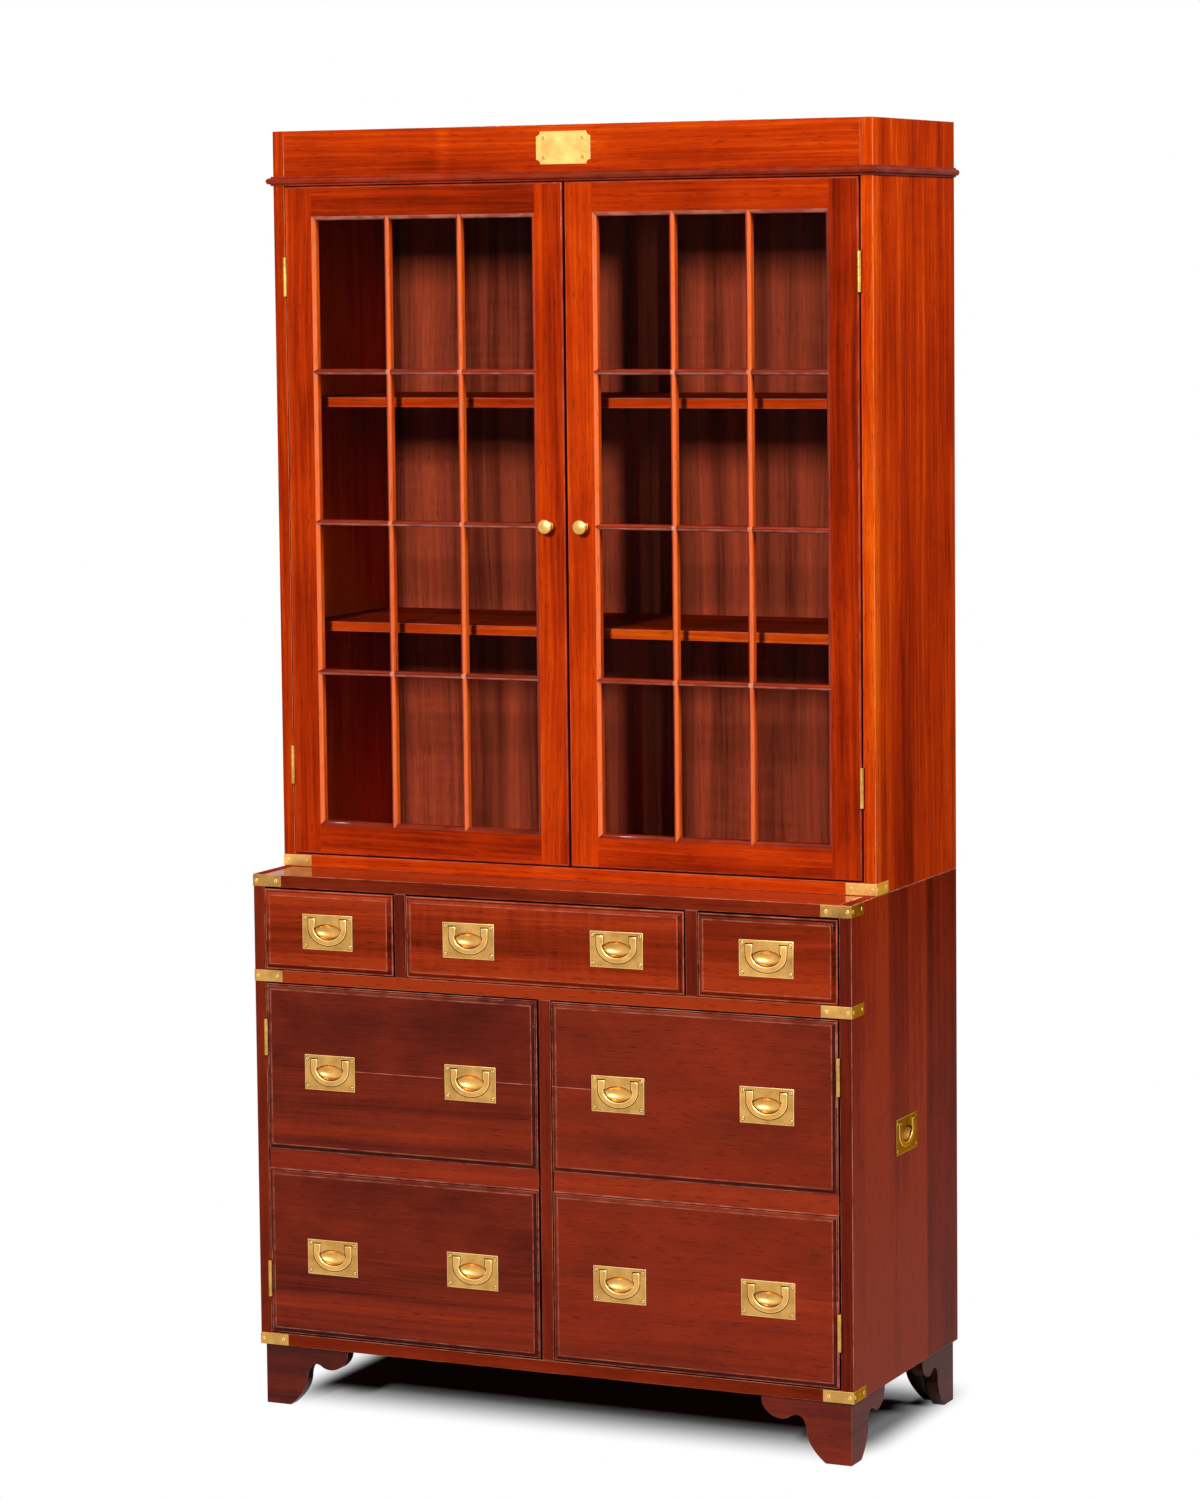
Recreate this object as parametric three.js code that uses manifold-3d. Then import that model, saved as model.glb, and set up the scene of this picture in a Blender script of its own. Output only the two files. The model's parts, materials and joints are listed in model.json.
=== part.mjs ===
// A mahogany bookcase in two cases: a glazed upper case that stands on a deeper base cabinet.
// Millimetres. +Z is up, +X is to the right seen from the front, and -Y points at the viewer.
// The part is drawn with the base's front at y = 0 and is centred on its own box at the end.
import * as THREE from 'three';
import { mergeVertices } from 'three/addons/utils/BufferGeometryUtils.js';
import Module from 'manifold-3d';

const wasm = await Module();
wasm.setup();

// The two cases
const caseWidth = 1030;
const baseDepth = 456;
const upperSetback = 104;
const totalHeight = 2050;
const baseHeight = 865;
const footHeight = 97.5;
const boardThickness = 20;
const backThickness = 10;
const glueGap = 0.3;

// Inside the upper case
const friezeHeight = 87;
const shelfThickness = 15.5;
const shelfSetback = 40;
const lowerShelfShare = 0.335;
const upperShelfShare = 0.671;

// The bead under the frieze
const beadHeight = 15;
const beadProjection = 9;
const beadFilletHeight = 2.5;
const beadFilletProjection = 3;
const beadArcSteps = 6;

// Inside the base
const drawerSpaceHeight = 134;
const drawerDividerCentre = 251.5;
const partitionThickness = 20;

// Doors, drawers and their running gaps
const sideGap = 2.5;
const meetingGap = 4;
const topGap = 2;
const bottomGap = 3;
const drawerSideGap = 2.25;
const drawerRunGap = 0.5;
const glazedDoorProud = 4;
const glazedDoorThickness = 22;
const panelDoorThickness = 18;

// The glazed doors' members
const stileWidth = 47.5;
const sightMouldWidth = 6.5;
const barMouldWidth = 4;
const mouldDepth = 5;
const sightDepth = 13;
const rebateWidth = 8;
const glassThickness = 3;
const barWidth = 9.5;
const paneColumns = 3;
const paneRows = 4;
const roundSteps = 3;

// The moulded fronts of the drawers and of the doors below them
const filletProud = 2;
const filletWidth = 3.5;
const filletStep = 1;
const ovoloWidth = 6;
const ovoloHeight = 3;
const falseFrontBand = 32;

// The drawer boxes
const drawerWall = 12;
const drawerFloor = 6;
const drawerFloorRise = 6;
const drawerBoxHeight = 108;
const drawerBackGap = 14;

// The recessed handles
const plateWidth = 90;
const plateHeight = 57;
const plateThickness = 1.2;
const bailWidth = 68.6;
const bailHeight = 43;
const bailTopMargin = 7;
const bailThickness = 5;
const bailProud = 0.8;
const bailClearance = 0.6;
const bailBarWidth = 9;
const earWidth = 12.3;
const earHeight = 13;
const earAboveAxis = 3;
const armWidth = 9.9;
const bailArcSteps = 10;
const pivotRadius = 1;
const pivotLength = 3;
const pivotClearance = 0.25;
const pivotSides = 6;
const dishWidth = 48.8;
const dishHeight = 24.4;
const dishDepth = 9;
const dishRise = 0.9;
const dishSides = 16;
const dishRings = 4;
const doorHandleSpacing = 250;
const doorHandleDrop = 4;
const sideHandleHeight = 476;

// The turned knobs
const knobRadius = 12;
const knobNeckRadius = 4.5;
const knobFootRadius = 8;
const knobFootHeight = 2.5;
const knobNeckHeight = 8;
const knobProjection = 20;
const knobSides = 16;
const knobCentreInset = 28;

// The butt hinges
const barrelRadius = 3.5;
const barrelSides = 12;
const barrelClearance = 0.3;
const leafThickness = 0.9;
const leafDepth = 16;
const upperHingeLength = 62.5;
const upperHingeInset = 112;
const baseHingeLength = 59;
const baseHingeInset = 57.5;

// The bracket feet
const footInset = 6;
const footThickness = 20;
const footFrontWing = 149;
const footSideWing = 140;
const footCurveSteps = 5;

// The bare name plate
const namePlateWidth = 93;
const namePlateHeight = 51;
const namePlateThickness = 1.2;
const namePlateScoop = 7;
const namePlateScoopSteps = 4;

// One overrun serves every cut, and one overlap every join
const overrun = 5;
const overlap = 1;

// Planes and edges that follow from the sizes above
const halfWidth = caseWidth / 2;
const innerHalf = halfWidth - boardThickness;
const panelFront = baseDepth - backThickness;
const boardBack = panelFront - glueGap;
const caseFloor = footHeight + glueGap;
const baseBoardTop = caseFloor + boardThickness;
const baseTopBoardUnderside = baseHeight - boardThickness;
const drawerRailTop = baseTopBoardUnderside - drawerSpaceHeight;
const drawerRailUnderside = drawerRailTop - boardThickness;
const upperFloor = baseHeight + glueGap;
const upperBoardTop = upperFloor + boardThickness;
const friezeBottom = totalHeight - friezeHeight;
const fieldProud = filletProud + filletStep + ovoloHeight;
const plateFront = fieldProud + plateThickness;
const frontmost = -(plateFront + bailProud);

// Finishes
const finish = (color, roughness, metalness) =>
  new THREE.MeshStandardMaterial({ color, roughness, metalness });
const upperWood = finish(0xa8401a, 0.25, 0);
const baseWood = finish(0x6e2412, 0.25, 0);
const innerWood = finish(0x5a2a14, 0.5, 0);
const brass = finish(0xd8b060, 0.3, 1);
const glass = new THREE.MeshStandardMaterial({
  color: 0xe6ece8, roughness: 0.05, metalness: 0, transparent: true, opacity: 0.3,
});

const bookcase = new THREE.Group();

function addMesh(name, geometry, material) {
  const mesh = new THREE.Mesh(geometry, material);
  mesh.name = name;
  bookcase.add(mesh);
  return mesh;
}

// A box between two limits on each axis, given in either order
function block(x, y, z) {
  const [width, depth, height] = [x, y, z].map(([a, b]) => Math.abs(b - a));
  const [midX, midY, midZ] = [x, y, z].map(([a, b]) => (a + b) / 2);
  return new THREE.BoxGeometry(width, depth, height).translate(midX, midY, midZ);
}

// A closed body through rings of points, with the first and last ring filled by the cap's triangles
function loft(rings, capFaces) {
  const count = rings[0].length;
  const last = (rings.length - 1) * count;
  const index = [];
  for (const [a, b, c] of capFaces) {
    index.push(a, b, c, last + a, last + c, last + b);
  }
  for (let near = 0; near < last; near += count) {
    const far = near + count;
    for (let i = 0; i < count; i += 1) {
      const j = (i + 1) % count;
      index.push(near + i, far + i, far + j, near + i, far + j, near + j);
    }
  }
  const geometry = new THREE.BufferGeometry();
  const positions = rings.flat().flatMap((point) => point.toArray());
  geometry.setAttribute('position', new THREE.Float32BufferAttribute(positions, 3));
  geometry.setIndex(index);
  geometry.computeVertexNormals();
  return geometry;
}

// A block of rectangular sections from front to back, each set in from the first by its inset
function steppedBlock(x, z, sections) {
  const [left, right] = [Math.min(...x), Math.max(...x)];
  const [low, high] = [Math.min(...z), Math.max(...z)];
  const rings = sections.map(([inset, y]) => [
    new THREE.Vector3(left + inset, y, low + inset),
    new THREE.Vector3(right - inset, y, low + inset),
    new THREE.Vector3(right - inset, y, high - inset),
    new THREE.Vector3(left + inset, y, high - inset),
  ]);
  return loft(rings, [[0, 1, 2], [0, 2, 3]]);
}

// A flat shape stood upright: its x runs along X, its y along Z, and it is thick towards +Y
function uprightPlate(shape, thickness, curveSegments) {
  const geometry = new THREE.ExtrudeGeometry(shape, { depth: thickness, bevelEnabled: false, curveSegments });
  return geometry.rotateX(Math.PI / 2).translate(0, thickness, 0);
}

function solidOf(geometry) {
  const bare = geometry.clone();
  bare.deleteAttribute('normal');
  bare.deleteAttribute('uv');
  const merged = mergeVertices(bare);
  return new wasm.Manifold(new wasm.Mesh({
    numProp: 3,
    vertProperties: new Float32Array(merged.attributes.position.array),
    triVerts: new Uint32Array(merged.index.array),
  }));
}

function geometryOf(solid) {
  const { vertProperties, triVerts } = solid.getMesh();
  const geometry = new THREE.BufferGeometry();
  geometry.setAttribute('position', new THREE.BufferAttribute(vertProperties, 3));
  geometry.setIndex(new THREE.BufferAttribute(triVerts, 1));
  geometry.computeVertexNormals();
  return geometry;
}

const join = (first, ...others) => others.reduce((solid, geometry) => solid.add(solidOf(geometry)), first);
const cut = (first, ...others) => others.reduce((solid, geometry) => solid.subtract(solidOf(geometry)), first);

const sides = [['left', -1], ['right', 1]];

// The handles: each is drawn with its plate's centre at the origin and its wood face at y = 0

const bailTop = plateHeight / 2 - bailTopMargin;
const bailAxisRise = bailTop - earAboveAxis;
const bailFrontY = -(plateThickness + bailProud);
const bailAxisY = bailFrontY + bailThickness / 2;
const earSweep = Math.hypot(earAboveAxis, bailThickness / 2) + bailClearance;

// The bail seen from the front: two square ears above a half oval, grown all round for its recess
function bailOutline(grow) {
  const outer = bailWidth / 2 + grow;
  const top = bailTop + grow;
  const bottom = bailTop - bailHeight - grow;
  const earInner = bailWidth / 2 - earWidth - grow;
  const earBottom = bailTop - earHeight - grow;
  const armInner = bailWidth / 2 - armWidth - grow;
  const ovalCentre = earBottom - (earWidth - armWidth);
  const innerBottom = bailTop - bailHeight + bailBarWidth + grow;
  const shape = new THREE.Shape();
  shape.moveTo(-outer, top);
  shape.lineTo(-outer, ovalCentre);
  shape.absellipse(0, ovalCentre, outer, ovalCentre - bottom, Math.PI, 2 * Math.PI);
  shape.lineTo(outer, top);
  shape.lineTo(earInner, top);
  shape.lineTo(earInner, earBottom);
  shape.lineTo(armInner, ovalCentre);
  shape.absellipse(0, ovalCentre, armInner, ovalCentre - innerBottom, 2 * Math.PI, Math.PI, true);
  shape.lineTo(-earInner, earBottom);
  shape.lineTo(-earInner, top);
  shape.closePath();
  return shape;
}

function pivotRod(radius, from, to, side) {
  const rod = new THREE.CylinderGeometry(radius, radius, to - from, pivotSides);
  return rod.rotateZ(Math.PI / 2).translate(side * (from + to) / 2, bailAxisY, bailAxisRise);
}

function bailGeometry() {
  const bar = uprightPlate(bailOutline(0), bailThickness, bailArcSteps).translate(0, bailFrontY, 0);
  const rods = sides.map(([, side]) => {
    const from = bailWidth / 2 - overlap;
    return pivotRod(pivotRadius, from, bailWidth / 2 + pivotLength, side);
  });
  return geometryOf(join(solidOf(bar), ...rods));
}

const plateGeometry = block(
  [-plateWidth / 2, plateWidth / 2], [-plateThickness, overlap], [-plateHeight / 2, plateHeight / 2],
);

// What is cut for one handle: the bail's recess, the ears' deeper pockets, the pivot holes and the dish
function handleCuts() {
  const recessBack = bailFrontY + bailThickness + bailClearance;
  const recessFront = -plateThickness - overrun;
  const recess = uprightPlate(bailOutline(bailClearance), recessBack - recessFront, bailArcSteps)
    .translate(0, recessFront, 0);
  const dish = new THREE.SphereGeometry(1, dishSides, dishRings);
  dish.scale(dishWidth / 2, dishDepth, dishHeight / 2).translate(0, -plateThickness, dishRise);
  const pockets = sides.map(([, side]) => block(
    [side * (bailWidth / 2 + bailClearance), side * (bailWidth / 2 - earWidth - bailClearance)],
    [recessFront, bailAxisY + earSweep],
    [bailAxisRise - earSweep, bailAxisRise + earSweep],
  ));
  const holes = sides.map(([, side]) => {
    const to = bailWidth / 2 + pivotLength + pivotClearance;
    return pivotRod(pivotRadius + pivotClearance, bailWidth / 2 - overlap, to, side);
  });
  return [recess, dish, ...pockets, ...holes];
}

function placed(geometry, handle) {
  return geometry.clone().rotateZ(handle.turn).translate(handle.x, handle.y, handle.z);
}

// A front or side board with its handles' plates on it and their recesses cut
function withHandles(solid, handles) {
  let result = solid;
  for (const handle of handles) {
    result = join(result, placed(plateGeometry, handle));
    result = cut(result, ...handleCuts().map((geometry) => placed(geometry, handle)));
  }
  return result;
}

const bailShape = bailGeometry();

function addBail(handle) {
  const bail = addMesh(`bail_${handle.name}`, bailShape, brass);
  bail.position.set(handle.x, handle.y, handle.z);
  bail.rotation.z = handle.turn;
}

// The butt hinges: a barrel in the gap and a leaf against the case side, fixed to the case
const hingeAxisX = innerHalf - sideGap / 2;
const hingeAxisOut = barrelRadius + barrelClearance;

function hingeHeights(doorBottom, doorTop, inset, length) {
  return { top: doorTop - inset - length / 2, bottom: doorBottom + inset + length / 2 };
}

function addHinges(prefix, casePlane, heights, length) {
  for (const [sideName, side] of sides) {
    for (const [place, height] of Object.entries(heights)) {
      const axisY = casePlane - hingeAxisOut;
      const barrel = new THREE.CylinderGeometry(barrelRadius, barrelRadius, length, barrelSides);
      barrel.rotateX(Math.PI / 2).translate(side * hingeAxisX, axisY, height);
      const leafOuter = innerHalf - glueGap;
      const leaf = block(
        [side * leafOuter, side * (leafOuter - leafThickness)],
        [axisY, casePlane + leafDepth],
        [height - length / 2, height + length / 2],
      );
      const body = join(solidOf(barrel), leaf);
      addMesh(`hinge_${prefix}_${sideName}_${place}`, geometryOf(body), brass);
    }
  }
}

// The round notches that a door's edge has round its hinge barrels
function hingeNotches(side, casePlane, heights, length) {
  return Object.values(heights).map((height) => {
    const radius = barrelRadius + barrelClearance;
    const notch = new THREE.CylinderGeometry(radius, radius, length + 2 * barrelClearance, barrelSides);
    return notch.rotateX(Math.PI / 2).translate(side * hingeAxisX, casePlane - hingeAxisOut, height);
  });
}

// The base cabinet's boards
function addBaseCase() {
  const sideHandles = sides.map(([sideName, side]) => ({
    name: `side_${sideName}`,
    x: side * halfWidth,
    y: baseDepth / 2,
    z: sideHandleHeight,
    turn: side * Math.PI / 2,
  }));
  sides.forEach(([sideName, side], number) => {
    const board = block([side * innerHalf, side * halfWidth], [0, baseDepth], [caseFloor, baseHeight]);
    const cutBoard = withHandles(solidOf(board), [sideHandles[number]]);
    addMesh(`base_side_${sideName}`, geometryOf(cutBoard), baseWood);
    addBail(sideHandles[number]);
  });
  const boardHalf = innerHalf - glueGap;
  const across = [-boardHalf, boardHalf];
  const deep = [0, boardBack];
  const railTop = drawerRailTop;
  addMesh('base_top_board', block(across, deep, [baseTopBoardUnderside, baseHeight]), baseWood);
  addMesh('base_bottom_board', block(across, deep, [caseFloor, baseBoardTop]), baseWood);
  addMesh('drawer_rail_board', block(across, deep, [drawerRailUnderside, railTop]), baseWood);
  addMesh('base_back_panel', block(across, [panelFront, baseDepth], [caseFloor, baseHeight]), innerWood);
  const dividerSpan = [railTop + glueGap, baseTopBoardUnderside - glueGap];
  for (const [sideName, side] of sides) {
    const centre = side * drawerDividerCentre;
    const divider = block([centre - boardThickness / 2, centre + boardThickness / 2], deep, dividerSpan);
    addMesh(`drawer_divider_${sideName}`, divider, baseWood);
  }
  const partitionHalf = partitionThickness / 2;
  const partition = block(
    [-partitionHalf, partitionHalf], deep, [baseBoardTop + glueGap, drawerRailUnderside - glueGap],
  );
  addMesh('cupboard_partition', partition, baseWood);
}

// The bracket feet: a front and a side bracket joined at the corner, each with the same sawn outline
const footCurveShares = {
  toe: [0.29, 0],
  toeControls: [[0.39, 0.12], [0.49, 0.29]],
  heel: [0.5, 0.48],
  heelControls: [[0.505, 0.66], [0.55, 0.73]],
  notch: [0.61, 0.73],
  notchControls: [[0.665, 0.73], [0.69, 0.67]],
  cusp: [0.725, 0.66],
  lobeControls: [[0.84, 0.6], [0.985, 0.74]],
  wing: [1, 0.92],
};

function bracketOutline(origin, direction, wing) {
  const at = ([along, up]) => [origin + direction * along * wing, up * footHeight];
  const shape = new THREE.Shape();
  const curve = (controls, end) => shape.bezierCurveTo(...controls.flatMap(at), ...at(end));
  shape.moveTo(...at([0, 0]));
  shape.lineTo(...at(footCurveShares.toe));
  curve(footCurveShares.toeControls, footCurveShares.heel);
  curve(footCurveShares.heelControls, footCurveShares.notch);
  curve(footCurveShares.notchControls, footCurveShares.cusp);
  curve(footCurveShares.lobeControls, footCurveShares.wing);
  shape.lineTo(...at([1, 1]));
  shape.lineTo(...at([0, 1]));
  shape.closePath();
  return shape;
}

function addFeet() {
  const corners = [['front', 1, footInset], ['back', -1, baseDepth - footInset]];
  for (const [place, inwards, outerY] of corners) {
    for (const [sideName, side] of sides) {
      const outerX = side * (halfWidth - footInset);
      const facing = uprightPlate(
        bracketOutline(outerX, -side, footFrontWing), footThickness, footCurveSteps,
      ).translate(0, inwards > 0 ? outerY : outerY - footThickness, 0);
      const flank = uprightPlate(
        bracketOutline(outerY, inwards, footSideWing), footThickness, footCurveSteps,
      ).rotateZ(Math.PI / 2).translate(side > 0 ? outerX : outerX + footThickness, 0, 0);
      addMesh(`foot_${place}_${sideName}`, geometryOf(join(solidOf(facing), flank)), baseWood);
    }
  }
}

// The moulded front of a drawer or of a false drawer front: a fillet, a step and an ovolo up to the field
function frontSections(back) {
  const sections = [];
  for (let step = roundSteps; step >= 0; step -= 1) {
    const angle = (step / roundSteps) * (Math.PI / 2);
    const inset = filletWidth + ovoloWidth * (1 - Math.cos(angle));
    sections.push([inset, -(filletProud + filletStep + ovoloHeight * Math.sin(angle))]);
  }
  sections.push([filletWidth, -filletProud], [0, -filletProud], [0, back]);
  return sections;
}

// The three drawers, each a moulded front and a box behind it
const dividerInner = drawerDividerCentre - boardThickness / 2;
const dividerOuter = drawerDividerCentre + boardThickness / 2;
const panelDoorInner = partitionThickness / 2 + bottomGap;
const panelDoorOuter = innerHalf - sideGap;
const panelDoorCentre = (panelDoorInner + panelDoorOuter) / 2;
const innerHandleX = panelDoorCentre - doorHandleSpacing / 2;
const outerHandleX = panelDoorCentre + doorHandleSpacing / 2;

function addDrawer(name, space, handleXs) {
  const frontX = [space[0] + drawerSideGap, space[1] - drawerSideGap];
  const frontZ = [drawerRailTop + topGap, baseTopBoardUnderside - bottomGap];
  const handles = handleXs.map((x, number) => ({
    name: handleXs.length > 1 ? `drawer_${name}_${sides[number][0]}` : `drawer_${name}`,
    x,
    y: -fieldProud,
    z: (frontZ[0] + frontZ[1]) / 2,
    turn: 0,
  }));
  const front = steppedBlock(frontX, frontZ, frontSections(panelDoorThickness));
  addMesh(`drawer_front_${name}`, geometryOf(withHandles(solidOf(front), handles)), baseWood);
  handles.forEach(addBail);
  const boxX = [space[0] + glueGap + drawerRunGap, space[1] - glueGap - drawerRunGap];
  const boxY = [panelDoorThickness + glueGap, boardBack - drawerBackGap];
  const boxFloor = drawerRailTop + drawerRunGap;
  const outer = block(boxX, boxY, [boxFloor, boxFloor + drawerBoxHeight]);
  const inner = block(
    [boxX[0] + drawerWall, boxX[1] - drawerWall],
    [boxY[0] + drawerWall, boxY[1] - drawerWall],
    [boxFloor + drawerFloorRise + drawerFloor, boxFloor + drawerBoxHeight + overrun],
  );
  const under = block(
    [boxX[0] + drawerWall, boxX[1] - drawerWall],
    [boxY[0] + drawerWall, boxY[1] - drawerWall],
    [boxFloor - overrun, boxFloor + drawerFloorRise],
  );
  addMesh(`drawer_box_${name}`, geometryOf(cut(solidOf(outer), inner, under)), innerWood);
}

function addDrawers() {
  const endHandleX = (dividerOuter + innerHalf) / 2;
  addDrawer('left', [-innerHalf, -dividerOuter], [-endHandleX]);
  addDrawer('middle', [-dividerInner, dividerInner], [-innerHandleX, innerHandleX]);
  addDrawer('right', [dividerOuter, innerHalf], [endHandleX]);
}

// The two doors below, each faced as two deep drawers
function addPanelDoors() {
  const low = baseBoardTop + bottomGap;
  const high = drawerRailUnderside - topGap;
  const middle = (low + high) / 2;
  const hinges = hingeHeights(low, high, baseHingeInset, baseHingeLength);
  const fronts = [
    ['lower', [low, middle - falseFrontBand / 2]],
    ['upper', [middle + falseFrontBand / 2, high]],
  ];
  for (const [sideName, side] of sides) {
    const x = [side * panelDoorInner, side * panelDoorOuter];
    const slab = solidOf(block(x, [0, panelDoorThickness], [low, high]));
    const faces = fronts.map(([, z]) => steppedBlock(x, z, frontSections(overlap)));
    const handles = fronts.flatMap(([level, z]) => [
      ['inner', innerHandleX], ['outer', outerHandleX],
    ].map(([place, distance]) => ({
      name: `door_${sideName}_${level}_${place}`,
      x: side * distance,
      y: -fieldProud,
      z: (z[0] + z[1]) / 2 - doorHandleDrop,
      turn: 0,
    })));
    const faced = cut(join(slab, ...faces), ...hingeNotches(side, 0, hinges, baseHingeLength));
    addMesh(`panel_door_${sideName}`, geometryOf(withHandles(faced, handles)), baseWood);
    handles.forEach(addBail);
  }
  addHinges('base', 0, hinges, baseHingeLength);
}

// The upper case's boards and shelves
function addUpperCase() {
  const front = upperSetback;
  const boardHalf = innerHalf - glueGap;
  const across = [-boardHalf, boardHalf];
  for (const [sideName, side] of sides) {
    const board = block([side * innerHalf, side * halfWidth], [front, baseDepth], [upperFloor, totalHeight]);
    addMesh(`upper_side_${sideName}`, board, upperWood);
  }
  addMesh('upper_bottom_board', block(across, [front, boardBack], [upperFloor, upperBoardTop]), upperWood);
  const friezeBack = front + boardThickness;
  addMesh('frieze_board', block(across, [front, friezeBack], [friezeBottom, totalHeight]), upperWood);
  const topSpan = [friezeBottom, friezeBottom + boardThickness];
  addMesh('upper_top_board', block(across, [friezeBack + glueGap, boardBack], topSpan), upperWood);
  addMesh('upper_back_panel', block(across, [panelFront, baseDepth], [upperFloor, totalHeight]), innerWood);
  for (const [name, share] of [['lower', lowerShelfShare], ['upper', upperShelfShare]]) {
    const underside = upperBoardTop + share * (friezeBottom - upperBoardTop);
    const shelf = block(across, [front + shelfSetback, boardBack], [underside, underside + shelfThickness]);
    addMesh(`shelf_${name}`, shelf, upperWood);
  }
}

// The bead runs round the front and both sides, mitred at the two front corners
function addBead() {
  const radius = beadHeight / 2 - beadFilletHeight;
  const profile = [
    new THREE.Vector2(glueGap, 0),
    new THREE.Vector2(beadFilletProjection, 0),
    new THREE.Vector2(beadFilletProjection, beadFilletHeight),
  ];
  for (let step = 0; step <= beadArcSteps; step += 1) {
    const angle = (step / beadArcSteps - 1 / 2) * Math.PI;
    profile.push(new THREE.Vector2(
      beadProjection - radius + radius * Math.cos(angle), beadHeight / 2 + radius * Math.sin(angle),
    ));
  }
  profile.push(
    new THREE.Vector2(beadFilletProjection, beadHeight - beadFilletHeight),
    new THREE.Vector2(beadFilletProjection, beadHeight),
    new THREE.Vector2(glueGap, beadHeight),
  );
  const station = (side, y) => profile.map(({ x: out, y: up }) => new THREE.Vector3(
    side * (halfWidth + out), y(out), friezeBottom + up,
  ));
  const atBack = () => baseDepth;
  const atFront = (out) => upperSetback - out;
  const rings = [station(-1, atBack), station(-1, atFront), station(1, atFront), station(1, atBack)];
  addMesh('cornice_bead', loft(rings, THREE.ShapeUtils.triangulateShape(profile, [])), upperWood);
}

// The bare name plate on the frieze, with scooped corners
function addNamePlate() {
  const [x, z] = [namePlateWidth / 2, namePlateHeight / 2];
  const shape = new THREE.Shape();
  shape.moveTo(-x + namePlateScoop, -z);
  shape.lineTo(x - namePlateScoop, -z);
  shape.absarc(x, -z, namePlateScoop, Math.PI, Math.PI / 2, true);
  shape.lineTo(x, z - namePlateScoop);
  shape.absarc(x, z, namePlateScoop, -Math.PI / 2, -Math.PI, true);
  shape.lineTo(-x + namePlateScoop, z);
  shape.absarc(-x, z, namePlateScoop, 0, -Math.PI / 2, true);
  shape.lineTo(-x, -z + namePlateScoop);
  shape.absarc(-x, -z, namePlateScoop, Math.PI / 2, 0, true);
  const friezeCentre = (friezeBottom + beadHeight + totalHeight) / 2;
  const plate = uprightPlate(shape, namePlateThickness, namePlateScoopSteps);
  plate.translate(0, upperSetback - glueGap - namePlateThickness, friezeCentre);
  addMesh('name_plate', plate, brass);
}

// The turned brass knobs, each at the middle height of its door's meeting stile
function addKnob(sideName, side, height) {
  const head = knobProjection - knobNeckHeight - knobFootHeight;
  const profile = [
    [0, 0], [knobFootRadius, 0], [knobFootRadius, knobFootHeight],
    [knobNeckRadius, knobFootHeight + knobNeckHeight / 4], [knobNeckRadius, knobFootHeight + knobNeckHeight / 2],
    [knobRadius, knobProjection - head], [knobRadius, knobProjection - head / 2],
    [knobRadius * Math.sin(Math.PI / 4), knobProjection - head / 8], [0, knobProjection],
  ].map(([radius, along]) => new THREE.Vector2(radius, along));
  const knob = addMesh(`knob_${sideName}`, new THREE.LatheGeometry(profile, knobSides), brass);
  knob.rotation.x = Math.PI;
  const x = side * (meetingGap / 2 + knobCentreInset);
  knob.position.set(x, upperSetback - glazedDoorProud - glueGap, height);
}

// The glazed doors: a moulded frame with its bars in one body, and a sheet of glass in the rebate behind
function addGlazedDoors() {
  const low = upperBoardTop + bottomGap;
  const high = friezeBottom - topGap;
  const faceY = upperSetback - glazedDoorProud;
  const backY = faceY + glazedDoorThickness;
  const glassY = faceY + sightDepth;
  const hinges = hingeHeights(low, high, upperHingeInset, upperHingeLength);
  const sight = stileWidth + sightMouldWidth;
  for (const [sideName, side] of sides) {
    const inner = meetingGap / 2;
    const outer = innerHalf - sideGap;
    const x = [side * inner, side * outer];
    const glazedX = [side * (inner + sight), side * (outer - sight)];
    const glazedZ = [low + sight, high - sight];
    const rebateX = [side * (inner + sight - rebateWidth), side * (outer - sight + rebateWidth)];
    const rebateZ = [glazedZ[0] - rebateWidth, glazedZ[1] + rebateWidth];
    const frame = cut(
      solidOf(block(x, [faceY, backY], [low, high])),
      block(rebateX, [glassY, backY + overrun], rebateZ),
      ...paneOpenings(glazedX, glazedZ, faceY, glassY + overrun),
      ...hingeNotches(side, upperSetback, hinges, upperHingeLength),
    );
    addMesh(`glazed_frame_${sideName}`, geometryOf(frame), upperWood);
    const pane = block(
      [rebateX[0] + side * glueGap, rebateX[1] - side * glueGap],
      [glassY + glueGap, glassY + glueGap + glassThickness],
      [rebateZ[0] + glueGap, rebateZ[1] - glueGap],
    );
    addMesh(`glass_${sideName}`, pane, glass);
    addKnob(sideName, side, (low + high) / 2);
  }
  addHinges('upper', upperSetback, hinges, upperHingeLength);
}

// The openings' limits along one direction, each with the width of the moulding at its two ends
function paneLimits([from, to], count) {
  const [start, end] = [Math.min(from, to), Math.max(from, to)];
  const pitch = (end - start) / count;
  return Array.from({ length: count }, (_, number) => ({
    low: number > 0 ? start + pitch * number + barWidth / 2 : start,
    high: number < count - 1 ? start + pitch * (number + 1) - barWidth / 2 : end,
    lowMould: number > 0 ? barMouldWidth : sightMouldWidth,
    highMould: number < count - 1 ? barMouldWidth : sightMouldWidth,
  }));
}

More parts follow.
